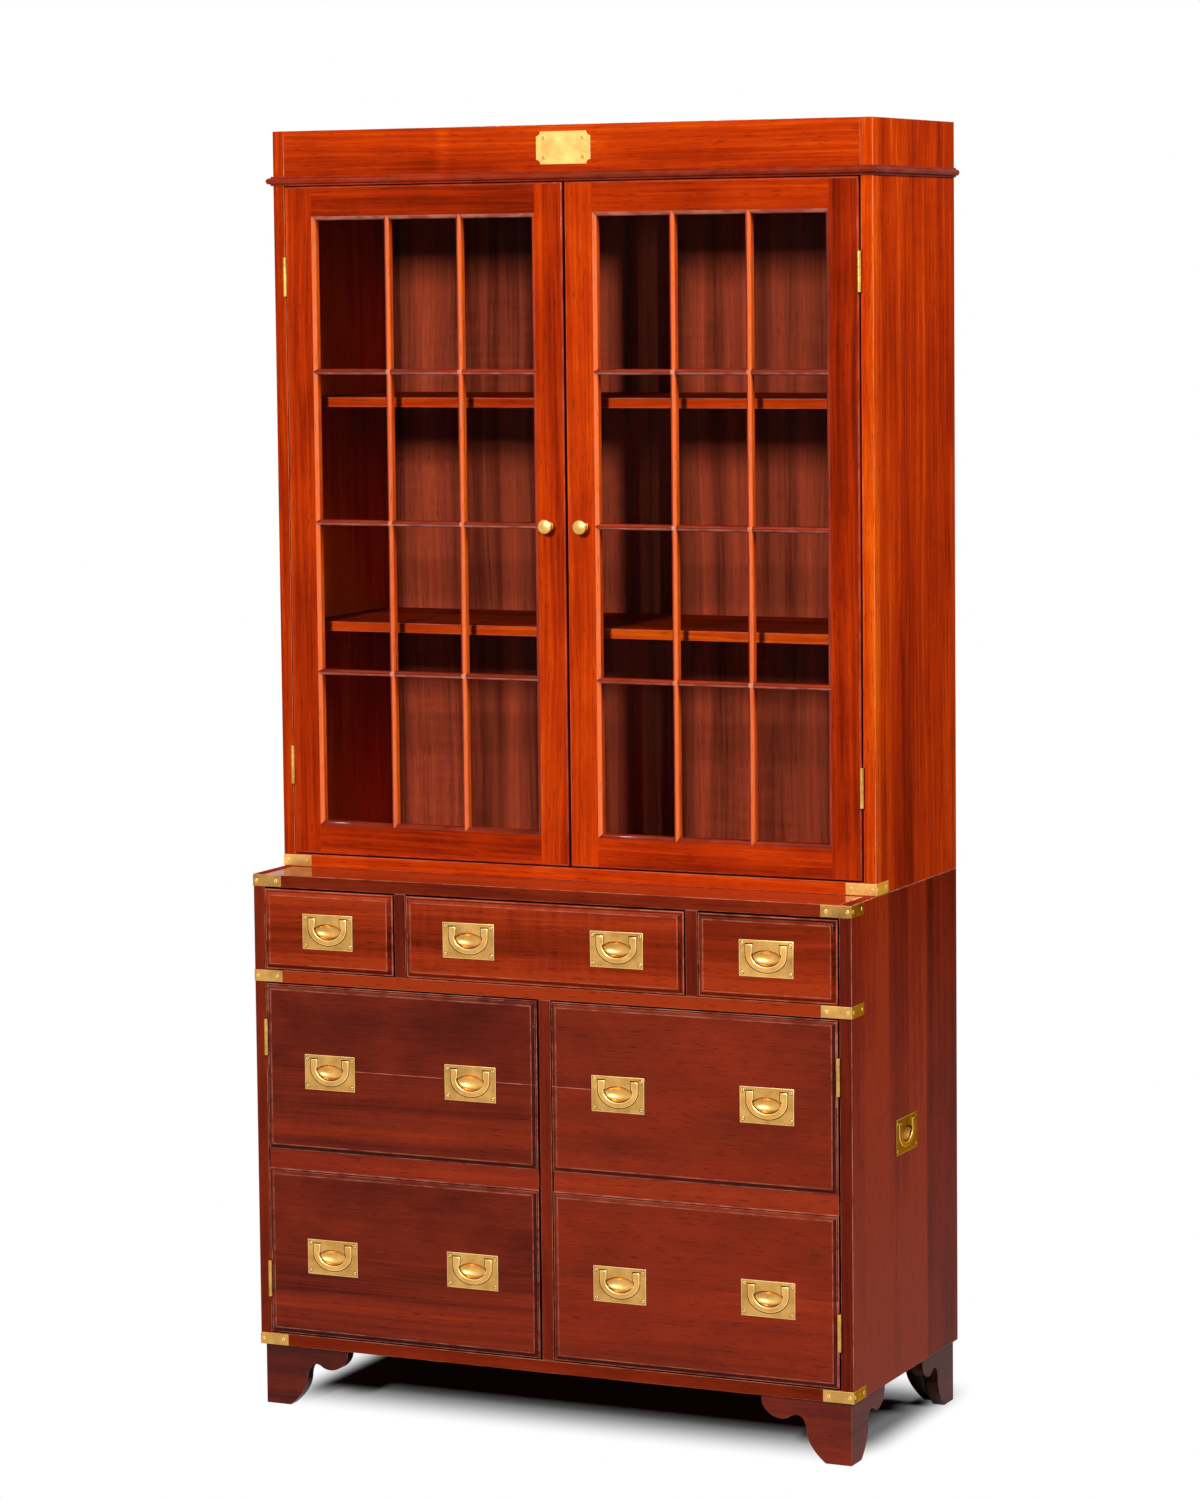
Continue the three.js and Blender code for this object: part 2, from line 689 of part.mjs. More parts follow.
// One opening a pane, rounded over at the front, so that what stays between them is the glazing bars
function paneOpenings(x, z, faceY, endY) {
  const rounding = Array.from({ length: roundSteps + 1 }, (_, step) => (step / roundSteps) * (Math.PI / 2));
  const sections = [
    [1, faceY - overrun],
    ...rounding.map((angle) => [1 - Math.sin(angle), faceY + mouldDepth * (1 - Math.cos(angle))]),
    [0, endY],
  ];
  return paneLimits(x, paneColumns).flatMap((across) => paneLimits(z, paneRows).map((up) => {
    const rings = sections.map(([share, y]) => {
      const left = across.low - share * across.lowMould;
      const right = across.high + share * across.highMould;
      const bottom = up.low - share * up.lowMould;
      const top = up.high + share * up.highMould;
      return [[left, bottom], [right, bottom], [right, top], [left, top]]
        .map(([px, pz]) => new THREE.Vector3(px, y, pz));
    });
    return loft(rings, [[0, 1, 2], [0, 2, 3]]);
  }));
}

addBaseCase();
addFeet();
addDrawers();
addPanelDoors();
addUpperCase();
addBead();
addNamePlate();
addGlazedDoors();

// The origin is the middle of the part's own box, at the height of the floor
bookcase.position.y = -(frontmost + baseDepth) / 2;

export default bookcase;
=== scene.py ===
"""Dresses the glazed bookcase: polished mahogany cases, moulded fronts, glass doors and recessed brass."""

import functools
import json
import math
import random

import bmesh
import bpy
from mathutils import Matrix, Vector

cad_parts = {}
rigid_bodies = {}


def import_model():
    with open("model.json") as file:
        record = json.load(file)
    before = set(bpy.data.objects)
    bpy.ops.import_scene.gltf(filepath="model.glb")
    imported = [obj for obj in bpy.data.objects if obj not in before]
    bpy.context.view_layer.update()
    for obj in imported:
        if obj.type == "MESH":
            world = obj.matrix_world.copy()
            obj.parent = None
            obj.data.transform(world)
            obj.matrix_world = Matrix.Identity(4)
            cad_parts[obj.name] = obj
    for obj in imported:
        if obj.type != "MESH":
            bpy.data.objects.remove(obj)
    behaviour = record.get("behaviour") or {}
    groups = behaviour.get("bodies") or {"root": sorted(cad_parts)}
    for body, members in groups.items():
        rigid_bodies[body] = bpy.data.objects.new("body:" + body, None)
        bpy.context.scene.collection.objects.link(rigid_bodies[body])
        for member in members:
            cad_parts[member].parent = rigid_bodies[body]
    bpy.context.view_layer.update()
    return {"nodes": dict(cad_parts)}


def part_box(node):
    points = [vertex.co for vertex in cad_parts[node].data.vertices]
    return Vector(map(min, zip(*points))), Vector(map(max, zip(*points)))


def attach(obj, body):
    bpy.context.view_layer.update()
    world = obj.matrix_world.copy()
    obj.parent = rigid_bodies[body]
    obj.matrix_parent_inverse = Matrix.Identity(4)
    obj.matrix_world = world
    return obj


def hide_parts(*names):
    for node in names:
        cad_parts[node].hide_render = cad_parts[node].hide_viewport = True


bl_info = {
    "name": "Glazed Bookcase",
    "version": (1, 0, 0),
    "blender": (4, 5, 0),
    "location": "View3D > Sidebar > Bookcase",
    "description": "A mahogany bookcase with glass doors over drawers and a cupboard",
    "category": "Object",
}

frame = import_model()

SIDES = (("left", -1), ("right", 1))
X, Y, Z = 0, 1, 2
MM = 0.001
SAME_PLACE = 1e-5

# The planes that several pieces share, read from the solids
UPPER_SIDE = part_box("upper_side_right")
RAIL_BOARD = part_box("drawer_rail_board")
BASE_FRONT = RAIL_BOARD[0].y
UPPER_FRONT = UPPER_SIDE[0].y
CASE_BACK = UPPER_SIDE[1].y
HALF_WIDTH = UPPER_SIDE[1].x
INNER_HALF = UPPER_SIDE[0].x

COLOUR = {"subtype": "COLOR", "min": 0.0, "max": 1.0}
LENGTH = {"subtype": "DISTANCE", "unit": "LENGTH", "min": 0.0}
POWER = {"subtype": "POWER", "unit": "POWER", "min": 0.0}


class BookcaseWood(bpy.types.PropertyGroup):
    """The mahogany's colours and the softness of its edges"""

    upper_tone: bpy.props.FloatVectorProperty(
        name="Upper mahogany", description="Middle colour of the upper case and its doors",
        default=(0.405, 0.027, 0.0015), **COLOUR,
    )
    base_tone: bpy.props.FloatVectorProperty(
        name="Base mahogany", description="Middle colour of the base cabinet",
        default=(0.20, 0.018, 0.004), **COLOUR,
    )
    inner_tone: bpy.props.FloatVectorProperty(
        name="Inner wood", description="Middle colour of the back panels and the drawer boxes",
        default=(0.23, 0.036, 0.014), **COLOUR,
    )
    worn_tone: bpy.props.FloatVectorProperty(
        name="Worn edge", description="Colour of the polish where edges and mouldings are rubbed",
        default=(0.62, 0.21, 0.12), **COLOUR,
    )
    arris: bpy.props.FloatProperty(
        name="Arris", description="Width of the softened edges of the boards", default=0.8 * MM, **LENGTH
    )
    door_round: bpy.props.FloatProperty(
        name="Door edge round", description="Radius of the rounded front edges of the glazed doors",
        default=2.5 * MM, **LENGTH,
    )


class BookcaseBrass(bpy.types.PropertyGroup):
    """The brass's colour and the sizes of its small fittings"""

    tone: bpy.props.FloatVectorProperty(
        name="Brass", description="Colour of the plates, straps, hinges and knobs",
        default=(0.60, 0.32, 0.085), **COLOUR,
    )
    strap_leg: bpy.props.FloatProperty(
        name="Strap leg", description="Length of each leg of the corner straps", default=51 * MM, **LENGTH
    )
    strap_height: bpy.props.FloatProperty(
        name="Strap height", description="Height of the corner straps", default=18.5 * MM, **LENGTH
    )
    strap_proud: bpy.props.FloatProperty(
        name="Strap projection", description="How far the straps stand out of the wood",
        default=0.8 * MM, **LENGTH,
    )
    screw_width: bpy.props.FloatProperty(
        name="Screw head", description="Width of the slotted screw heads", default=6 * MM, **LENGTH
    )


class BookcaseStage(bpy.types.PropertyGroup):
    """The lamps and the even light"""

    key_power: bpy.props.FloatProperty(
        name="Key lamp", description="Power of the large soft lamp in front", default=338.0, **POWER
    )
    side_power: bpy.props.FloatProperty(
        name="Side lamp", description="Power of the soft lamp at the right", default=148.0, **POWER
    )
    back_power: bpy.props.FloatProperty(
        name="Back lamp", description="Power of the soft lamp behind, for views of the back",
        default=130.0, **POWER,
    )
    ambient: bpy.props.FloatProperty(
        name="Ambient light", description="Strength of the even light from all round",
        default=0.012, subtype="FACTOR", min=0.0, max=1.0,
    )


# Finishes


class Socket:
    """One output of a finish's nodes, with sums that add Math nodes"""

    def __init__(self, finish, output):
        self.finish, self.output = finish, output

    def sum_of(self, operation, first, second):
        return self.finish.node("ShaderNodeMath", {"operation": operation}, {0: first, 1: second})

    def __add__(self, other):
        return self.sum_of("ADD", self, other)

    def __radd__(self, other):
        return self.sum_of("ADD", other, self)

    def __sub__(self, other):
        return self.sum_of("SUBTRACT", self, other)

    def __rsub__(self, other):
        return self.sum_of("SUBTRACT", other, self)

    def __mul__(self, other):
        return self.sum_of("MULTIPLY", self, other)

    def __rmul__(self, other):
        return self.sum_of("MULTIPLY", other, self)

    def at_least(self, least):
        return self.sum_of("MAXIMUM", self, least)

    def above(self, low, high):
        """0 below low and 1 above high, with a smooth step between them"""
        limits = {"Value": self, "From Min": low, "From Max": high}
        return self.finish.node("ShaderNodeMapRange", {"interpolation_type": "SMOOTHSTEP"}, limits)


class Finish:
    """The nodes of a material or a world, built one at a time"""

    def __init__(self, name, kind="materials"):
        self.owner = getattr(bpy.data, kind).new(name)
        self.owner.use_nodes = True
        self.tree = self.owner.node_tree
        self.tree.nodes.clear()

    def node(self, kind, settings=None, inputs=None, output=0):
        made = self.tree.nodes.new(kind)
        for key, value in (settings or {}).items():
            if key == "stops":
                self.set_stops(made.color_ramp.elements, value)
            else:
                setattr(made, key, value)
        for key, value in (inputs or {}).items():
            if isinstance(value, Socket):
                self.tree.links.new(value.output, made.inputs[key])
            else:
                made.inputs[key].default_value = value
        return Socket(self, made.outputs[output]) if made.outputs else None

    @staticmethod
    def set_stops(elements, stops):
        while len(elements) < len(stops):
            elements.new(1.0)
        for element, (place, colour) in zip(elements, stops):
            element.position = place
            element.color = (*colour, 1.0)

    def vectors(self, operation, first, second=(0.0, 0.0, 0.0), output=0):
        return self.node("ShaderNodeVectorMath", {"operation": operation}, {0: first, 1: second}, output)

    def stretched(self, vector, scale):
        return self.vectors("MULTIPLY", vector, scale)

    def moved(self, vector, offset):
        return self.vectors("ADD", vector, offset)

    def noise(self, vector, scale, detail=2.0, roughness=0.5, output="Fac"):
        inputs = {"Scale": 1.0, "Detail": detail, "Roughness": roughness}
        inputs["Vector"] = self.stretched(vector, scale)
        return self.node("ShaderNodeTexNoise", None, inputs, output)

    def attribute(self, name, output="Fac"):
        return self.node("ShaderNodeAttribute", {"attribute_name": name}, None, output)

    def place(self):
        return self.node("ShaderNodeTexCoord", None, None, "Object")

    def seen(self):
        """1 for the rays that show the background: from the camera, from a mirror and through glass"""
        direct, *others = (
            self.node("ShaderNodeLightPath", None, None, ray)
            for ray in ("Is Camera Ray", "Is Glossy Ray", "Is Transmission Ray")
        )
        return functools.reduce(Socket.at_least, others, direct)

    def blended(self, factor, first, second):
        colours = [value if isinstance(value, Socket) else (*value, 1.0) for value in (first, second)]
        return self.node("ShaderNodeMix", {"data_type": "RGBA"}, {0: factor, 6: colours[0], 7: colours[1]}, 2)

    def mixed(self, factor, first, second):
        return self.node("ShaderNodeMixShader", None, {0: factor, 1: first, 2: second})

    def ramp(self, factor, stops):
        return self.node("ShaderNodeValToRGB", {"stops": stops}, {0: factor}, "Color")

    def bumped(self, height, distance, strength):
        inputs = {"Height": height, "Distance": distance, "Strength": strength}
        return self.node("ShaderNodeBump", None, inputs, "Normal")

    def shader(self, inputs):
        return self.node("ShaderNodeBsdfPrincipled", None, inputs)

    def shown(self, shader, output="ShaderNodeOutputMaterial"):
        self.node(output, None, {"Surface": shader})
        return self.owner


def shaded(colour, *factors):
    """A colour times one factor, or times one for each channel, kept between black and white"""
    factors = factors * 3 if len(factors) == 1 else factors
    return tuple(min(1.0, max(0.0, channel * factor)) for channel, factor in zip(colour, factors))


def mahogany(name, tone, worn_tone, gloss, glow, lines):
    """Polished mahogany that follows each board's own grain, tone, figure, polish and wear"""
    wood = Finish(name)
    run = wood.attribute("grain", "Vector")
    # The tone and wear on the faces hold each board's own tone and worn edges, and also painted light and
    # shade on the mouldings, bars, sides and shelves
    board_tone_and_painted_light, figure, polish, edge = map(wood.attribute, ("tone", "figure", "polish", "wear"))
    wander = wood.noise(run, (1.3, 7.0, 7.0), output="Color")
    bent = wood.moved(run, wood.stretched(wood.moved(wander, (-0.5, -0.5, -0.5)), (0.0, 0.035, 0.035)))
    stripe = wood.noise(bent, (0.6, 34.0, 34.0), 3.0, 0.6)
    line = wood.noise(bent, (2.2, 170.0, 170.0), 3.0, 0.65)
    fibre = wood.noise(bent, (9.0, 620.0, 620.0), 2.0, 0.6)
    mottle = wood.noise(bent, (6.0, 11.0, 11.0), 4.0, 0.62)
    band = wood.noise(bent, (0.4, 9.0, 9.0), 1.0)
    ripple = wood.noise(bent, (85.0, 13.0, 13.0))
    rippled = wood.noise(run, (2.5, 5.0, 5.0), 1.0).above(0.45, 0.62)
    pores = wood.noise(bent, (40.0, 430.0, 430.0), 1.0).above(0.60, 0.72)
    shade = (
        (stripe - 0.5) * figure * 1.2
        + (band - 0.5) * figure * 1.1
        + (line - 0.5) * (figure * 0.4 + lines)
        + (fibre - 0.5) * 0.2
        + (mottle - 0.5) * (0.8 - figure * 0.55)
        + (ripple - 0.5) * rippled * (figure - 0.45).at_least(0.0) * 0.5
        + board_tone_and_painted_light
        + 0.5
    )
    stops = (
        (0.10, shaded(tone, 0.28, 0.24, 0.34)),
        (0.32, shaded(tone, 0.64, 0.56, 0.66)),
        (0.50, tone),
        (0.68, shaded(tone, 1.36, 1.0 + glow * 0.36, 1.30)),
        (0.90, shaded(tone, 1.85, 1.0 + glow * 1.6, 1.70)),
    )
    colour = wood.blended(pores * 0.45, wood.ramp(shade, stops), shaded(tone, 0.25))
    rub = wood.noise(run, (30.0, 60.0, 60.0), 3.0, 0.6).above(0.35, 0.65)
    looks = {
        "Base Color": wood.blended(edge * (rub * 0.6 + 0.15), colour, worn_tone),
        "Roughness": fibre * 0.05 + mottle * 0.05 + pores * 0.10 + gloss,
        "Normal": wood.bumped(line * 0.5 + fibre * 0.3 - pores * 0.6, 0.00012, 0.5),
        "Specular IOR Level": 0.0,
        "Coat Weight": edge * (rub * 0.3 + 0.04) + polish,
        "Coat Roughness": 0.09,
    }
    return wood.shown(wood.shader(looks))


def brushed_brass(name, tone):
    """Satin brass with fine level brushing, lighter or darker by the tone on its faces: tarnished in its
    recesses, bright where it is rubbed, and with painted shade and light in its handles and on some pieces
    """
    brass = Finish(name)
    place = brass.place()
    # The faces' tone holds tarnish and rubbed edges, and also painted shade and light: in the handles'
    # recesses and bowls, on the side handles, the straps and the name plate
    rubbed = brass.attribute("tone")
    cloud = brass.noise(place, (38.0, 38.0, 38.0), 3.0, 0.6)
    stroke = brass.noise(place, (60.0, 60.0, 2600.0), 2.0, 0.6)
    speck = brass.noise(place, (420.0, 420.0, 420.0)).above(0.66, 0.78)
    stops = (
        (0.0, shaded(tone, 0.07, 0.05, 0.04)),
        (0.25, shaded(tone, 0.45, 0.4, 0.36)),
        (0.5, tone),
        (0.75, shaded(tone, 1.5, 1.58, 1.7)),
        (1.0, shaded(tone, 1.65, 2.2, 3.4)),
    )
    colour = brass.ramp((cloud - 0.5) * 0.5 + (stroke - 0.5) * 0.15 + rubbed + 0.5, stops)
    looks = {
        "Base Color": brass.blended(speck * 0.25, colour, shaded(tone, 0.45)),
        "Metallic": 1.0,
        "Roughness": cloud * 0.14 + stroke * 0.08 + speck * 0.2 + 0.22,
        "Specular Tint": (0.75, 0.5, 0.2, 1.0),
        "Normal": brass.bumped(stroke * 0.6 + cloud * 0.4, 0.00006, 0.35),
    }
    return brass.shown(brass.shader(looks))


def window_glass(name):
    """Thin clear glass: most light goes straight through, and a little is mirrored"""
    glass = Finish(name)
    film = glass.noise(glass.place(), (3.0, 3.0, 3.0))
    sheen = glass.node("ShaderNodeFresnel", None, {"IOR": 1.12})
    clear = glass.node("ShaderNodeBsdfTransparent", None, {"Color": (0.96, 0.97, 0.96, 1.0)})
    looks = {"Base Color": (0.75, 0.75, 0.75, 1.0), "Metallic": 1.0, "Roughness": film * 0.02 + 0.01}
    return glass.shown(glass.mixed(sheen * 0.35, clear, glass.shader(looks)))


def pale_floor(name, low, high):
    """A white floor that keeps the cabinet's shadow: full between two corners, and faded out beyond them, so
    that the mask paints where the shadow's edge fades to white
    """
    floor = Finish(name)
    from_middle = floor.vectors("ABSOLUTE", floor.moved(floor.place(), -(low + high) / 2))
    beyond = floor.vectors("MAXIMUM", floor.moved(from_middle, -(high - low) / 2))
    distance = floor.vectors("LENGTH", floor.stretched(beyond, (2.5, 1.0, 1.0)), output="Value")
    grain = floor.noise(floor.place(), (40.0, 40.0, 40.0))
    bounced = floor.node("ShaderNodeLightPath", None, None, "Is Diffuse Ray")
    # Near the cabinet the floor is grey to the camera, painted shade that darkens the shadow there, and
    # darker still to bounced light
    tone = floor.blended(bounced, (0.3, 0.3, 0.3), (0.14, 0.14, 0.14))
    lit = floor.shader({"Base Color": tone, "Roughness": grain * 0.1 + 0.8, "Specular IOR Level": 0.0})
    white = floor.node("ShaderNodeEmission", None, {"Color": (1.0, 1.0, 1.0, 1.0), "Strength": 1.0})
    return floor.shown(floor.mixed(distance.above(0.0, 0.18) * floor.seen(), lit, white))


@functools.cache
def finish_for(slot):
    """The material that dresses a slot, made on first use"""
    wood, brass = bpy.context.scene.bookcase_wood, bpy.context.scene.bookcase_brass
    if slot == "brass":
        return brushed_brass("satin_brass", tuple(brass.tone))
    if slot == "glass":
        return window_glass("thin_window_glass")
    name, tone, gloss, glow, lines = {
        "upper_mahogany": ("polished_upper_mahogany", wood.upper_tone, 0.2, 1.9, 0.55),
        "base_mahogany": ("polished_base_mahogany", wood.base_tone, 0.2, 0.65, 0.12),
        "inner_wood": ("plain_inner_wood", wood.inner_tone, 0.35, 0.5, 0.2),
    }[slot]
    return mahogany(name, tuple(tone), tuple(wood.worn_tone), gloss, glow, lines)


# Joinery

# Tips a shape over, so that its own Z faces the front
TO_FRONT = Matrix.Rotation(math.pi / 2, 4, "X")
# How far the edges of each kind of piece are rounded
ROUNDING = {
    "bracket": 0.7 * MM,
    "drawer_front": 0.7 * MM,
    "drawer_box": 0.6 * MM,
    "panel_door": 0.4 * MM,
    "bead": 4.9 * MM,
    "glass": 0.3 * MM,
    "knuckle": 0.35 * MM,
    "plate": 1 * MM,
    "bail": 1.5 * MM,
    "strap": 0.5 * MM,
    "name_plate": 0.4 * MM,
}


def placed(bm, place):
    """The same shape, moved by a matrix"""
    bmesh.ops.transform(bm, matrix=place, verts=bm.verts)
    return bm


def block(low, high):
    """A rectangular solid between two corners"""
    bm = bmesh.new()
    low, high = Vector(low), Vector(high)
    place = Matrix.Translation((low + high) / 2) @ Matrix.Diagonal((*(high - low), 1.0))
    bmesh.ops.create_cube(bm, size=1.0, matrix=place)
    return bm


def rod(radius, length, place=Matrix(), segments=24):
    """A closed round rod along its own Z, about its place"""
    bm = bmesh.new()
    bmesh.ops.create_cone(
        bm, cap_ends=True, segments=segments, radius1=radius, radius2=radius, depth=length, matrix=place
    )
    return bm


def mesh_of(bm):
    mesh = bpy.data.meshes.new("work")
    bm.to_mesh(mesh)
    bm.free()
    return mesh


def shape_of(mesh):
    bm = bmesh.new()
    bm.from_mesh(mesh)
    bpy.data.meshes.remove(mesh)
    return bm


def join(bm, part):
    """Adds one shape to another"""
    mesh = mesh_of(part)
    bm.from_mesh(mesh)
    bpy.data.meshes.remove(mesh)


def in_scene(name, data):
    """A new object in the scene for a mesh, a curve, a lamp or a camera"""
    item = bpy.data.objects.new(name, data)
    bpy.context.scene.collection.objects.link(item)
    return item


def outcome(holder):
    """The shape that a work object comes to, once the object is removed"""
    mesh = bpy.data.meshes.new_from_object(holder.evaluated_get(bpy.context.evaluated_depsgraph_get()))
    bpy.data.objects.remove(holder)
    return shape_of(mesh)


def boolean(bm, tools, operation):
    """A shape joined with or cut by others, with the exact solver"""
    holder = in_scene("work", mesh_of(bm))
    group = bpy.data.collections.new("work_tools")
    bpy.context.scene.collection.children.link(group)
    for tool in tools:
        group.objects.link(bpy.data.objects.new("work_tool", mesh_of(tool)))
    step = holder.modifiers.new("cut", "BOOLEAN")
    step.operation, step.solver, step.operand_type = operation, "EXACT", "COLLECTION"
    step.collection = group
    step.use_self = True
    made = outcome(holder)
    for tool in list(group.objects):
        bpy.data.objects.remove(tool)
    bpy.data.collections.remove(group)
    return made


def bevel(bm, edges, width, segments=2):
    bmesh.ops.bevel(
        bm, geom=edges, offset=width, offset_type="OFFSET", segments=segments, profile=0.5, affect="EDGES",
        clamp_overlap=True, material=-1,
    )


def soften(bm, width, segments=2, least_angle=50.0, faces=None):
    """Rounds the sharp edges, or those of the given faces"""
    edges = bm.edges if faces is None else {edge for face in faces for edge in face.edges}
    sharp = [edge for edge in edges if edge.calc_face_angle(0.0) > math.radians(least_angle)]
    bevel(bm, sharp, width, segments)


def nearest(faces, point):
    """The face whose middle lies nearest to a point"""
    return min(faces, key=lambda face: (face.calc_center_bounds() - point).length)


def face_at(bm, axis, place, near=Vector()):
    """The face square to an axis at a place; where there are several, the nearest to a point"""
    bm.normal_update()
    flat = [
        face for face in bm.faces
        if abs(face.calc_center_median()[axis] - place) < SAME_PLACE and abs(face.normal[axis]) > 0.99
    ]
    return nearest(flat, near)


def facing(bm, axis, sign, least=0.9):
    """The faces whose normals point along an axis, or against it"""
    return [face for face in bm.faces if face.normal[axis] * sign > least]


def score(bm, faces, axis, places):
    """Divides faces along planes square to an axis, and returns all their parts"""
    faces = list(faces)
    for place in places:
        point, normal = Vector(), Vector()
        point[axis], normal[axis] = place, 1.0
        edges = {edge for face in faces for edge in face.edges}
        parts = [*faces, *edges, *{vert for face in faces for vert in face.verts}]
        cut = bmesh.ops.bisect_plane(bm, geom=parts, dist=1e-7, plane_co=point, plane_no=normal)
        faces = [item for item in cut["geom"] if isinstance(item, bmesh.types.BMFace)]
    return faces


def push(bm, face, vector=(0, 0, 0)):
    """Extrudes one face by a vector and returns the face at its end"""
    made = bmesh.ops.extrude_discrete_faces(bm, faces=[face])["faces"][0]
    bmesh.ops.translate(bm, verts=made.verts, vec=vector)
    return made


def inset(bm, face, width, vector=(0, 0, 0)):
    """Insets one face, and moves what it leaves by a vector"""
    bmesh.ops.inset_individual(bm, faces=[face], thickness=width, use_even_offset=True)
    bmesh.ops.translate(bm, verts=face.verts, vec=vector)
    return face


def narrowest(face):
    """How wide a long face is"""
    return face.calc_area() / max(edge.calc_length() for edge in face.edges)


def edge_wear(face):
    """1 on a softened edge, a little on a moulding and 0 on a square face"""
    if max(map(abs, face.normal)) > 0.985:
        return 0.0
    return 1.0 if narrowest(face) < 0.9 * MM else 0.3


# How far apart the boards' grain can start, and how much their tones differ by chance
GRAIN_REACH, TONE_SPREAD = 20, 0.03


def lay_grain(bm, seed, along, tone=0.0, faces=None, figure=0.5, polish=0.03, wear=None):
    """Writes how the wood runs: along, across and through the board from a start of its own"""
    layers = bm.loops.layers
    grain = layers.float_vector.get("grain") or layers.float_vector.new("grain")
    names = ("tone", "figure", "polish", "wear")
    named = [layers.float.get(name) or layers.float.new(name) for name in names]
    chance = random.Random(seed)
    start = Vector([chance.uniform(-GRAIN_REACH, GRAIN_REACH) for _ in range(3)])
    tone += chance.uniform(-TONE_SPREAD, TONE_SPREAD)
    order = (along, *(axis for axis in (X, Z, Y) if axis != along))
    bm.normal_update()
    for face in faces or bm.faces:
        rubbed = wear if wear is not None else edge_wear(face)
        for loop in face.loops:
            loop[grain] = Vector([loop.vert.co[axis] for axis in order]) + start
            for layer, value in zip(named, (tone, figure, polish, rubbed)):
                loop[layer] = value


def lay_sheen(bm, tone=0.0, faces=None, rubbed=0.22):
    """Writes how bright brass is, with rubbed edges on the faces that aren't square"""
    layer = bm.loops.layers.float.get("tone") or bm.loops.layers.float.new("tone")
    bm.normal_update()
    for face in faces or bm.faces:
        worn = rubbed if max(map(abs, face.normal)) < 0.97 else 0.0
        for loop in face.loops:
            loop[layer] = tone + worn


def shift(bm, name, amount, faces=None):
    """Adds to a layer at the corners of faces: one amount, or one found from each place"""
    layer = bm.loops.layers.float[name]
    for face in faces or bm.faces:
        for loop in face.loops:
            loop[layer] += amount(loop.vert.co) if callable(amount) else amount


def fading(axis, start, end):
    """An amount that runs evenly along an axis, from a (place, amount) pair to another"""
    (low, low_amount), (high, high_amount) = start, end
    return lambda place: low_amount + (high_amount - low_amount) * (place[axis] - low) / (high - low)


def add_piece(name, bm, slot, body, stands_for=(), sharp_angle=60.0):
    """Turns a shape into a named piece that rides on its body"""
    mesh = bpy.data.meshes.new(name)
    bm.to_mesh(mesh)
    bm.free()
    mesh.materials.append(finish_for(slot))
    mesh.shade_smooth()
    mesh.set_sharp_from_angle(angle=math.radians(sharp_angle))
    piece = in_scene(name, mesh)
    piece.modifiers.new("flat_face_normals", "WEIGHTED_NORMAL").keep_sharp = True
    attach(piece, body)
    if stands_for:
        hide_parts(*stands_for)


def dress(node, bm, slot, body="case", sharp_angle=60.0):
    """Puts a shape in place of its plain solid"""
    add_piece(f"{node}_dressed", bm, slot, body, [node], sharp_angle)


def board(low, high):
    """A plain board with softened arrises"""
    bm = block(low, high)
    soften(bm, bpy.context.scene.bookcase_wood.arris)
    return bm


def add_board(node, along, slot, tone=0.0, top=None, **look):
    """A board in place of its plain solid, with another look on its top where one is given"""
    bm = board(*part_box(node))
    lay_grain(bm, node, along, tone, **look)
    if top:
        lay_grain(bm, node, along, faces=facing(bm, Z, 1), **top)
    dress(node, bm, slot)


# Brass work

PLATE_WIDTH, PLATE_HEIGHT, PLATE_THICKNESS = 90 * MM, 57 * MM, 1.2 * MM
# The width, height and depth of the cast body behind a plate, and the pocket in the wood that takes it
PLATE_BODY = (76 * MM, 48 * MM, 10 * MM)
POCKET_WIDTH, POCKET_HEIGHT, POCKET_DEPTH = 78 * MM, 50 * MM, 12 * MM
BAIL_PROUD = 0.8 * MM
BAIL_TOP = 21.5 * MM
BAIL_THICKNESS = 5 * MM
SCREW_PLACES = [(across, up) for across in (-40 * MM, 40 * MM) for up in (-22 * MM, 22 * MM)]
SCREW_SUNK = 0.5 * MM
# The handles in the sides are painted darker than the others: painted shade on the sides
SIDE_PAINTED_SHADE = -0.3
# How far a curve's handles reach where it draws a quarter circle, as a share of the radius
ROUND_SHARE = 0.5523


def handle_places():
    """Each bail's name with the place of its plate on the wood and its turn about the vertical"""
    places = {}
    for name in sorted(node for node in frame["nodes"] if node.startswith("bail_")):
        low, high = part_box(name)
        middle, height = (low + high) / 2, high.z - BAIL_TOP
        proud = PLATE_THICKNESS + BAIL_PROUD
        if "side" in name:
            side = -1 if "left" in name else 1
            face = low.x + proud if side < 0 else high.x - proud
            places[name] = (Vector((face, middle.y, height)), side * math.pi / 2)
        else:
            places[name] = (Vector((middle.x, low.y + proud, height)), 0.0)
    return places


def plate_centres(carrier):
    return [spot for bail, (spot, _) in handle_places().items() if bail.startswith(f"bail_{carrier}")]


def cut_pockets(bm, axis, face_place, centres, inwards):
    """Sinks a pocket for each handle's cup into a flat face"""
    across = X if axis == Y else Y
    for centre in centres:
        parts = [face_at(bm, axis, face_place, centre)]
        for direction, size in ((across, POCKET_WIDTH), (Z, POCKET_HEIGHT)):
            limits = [centre[direction] - size / 2, centre[direction] + size / 2]
            parts = score(bm, parts, direction, limits)
        push(bm, nearest(parts, centre), Vector(inwards) * POCKET_DEPTH)


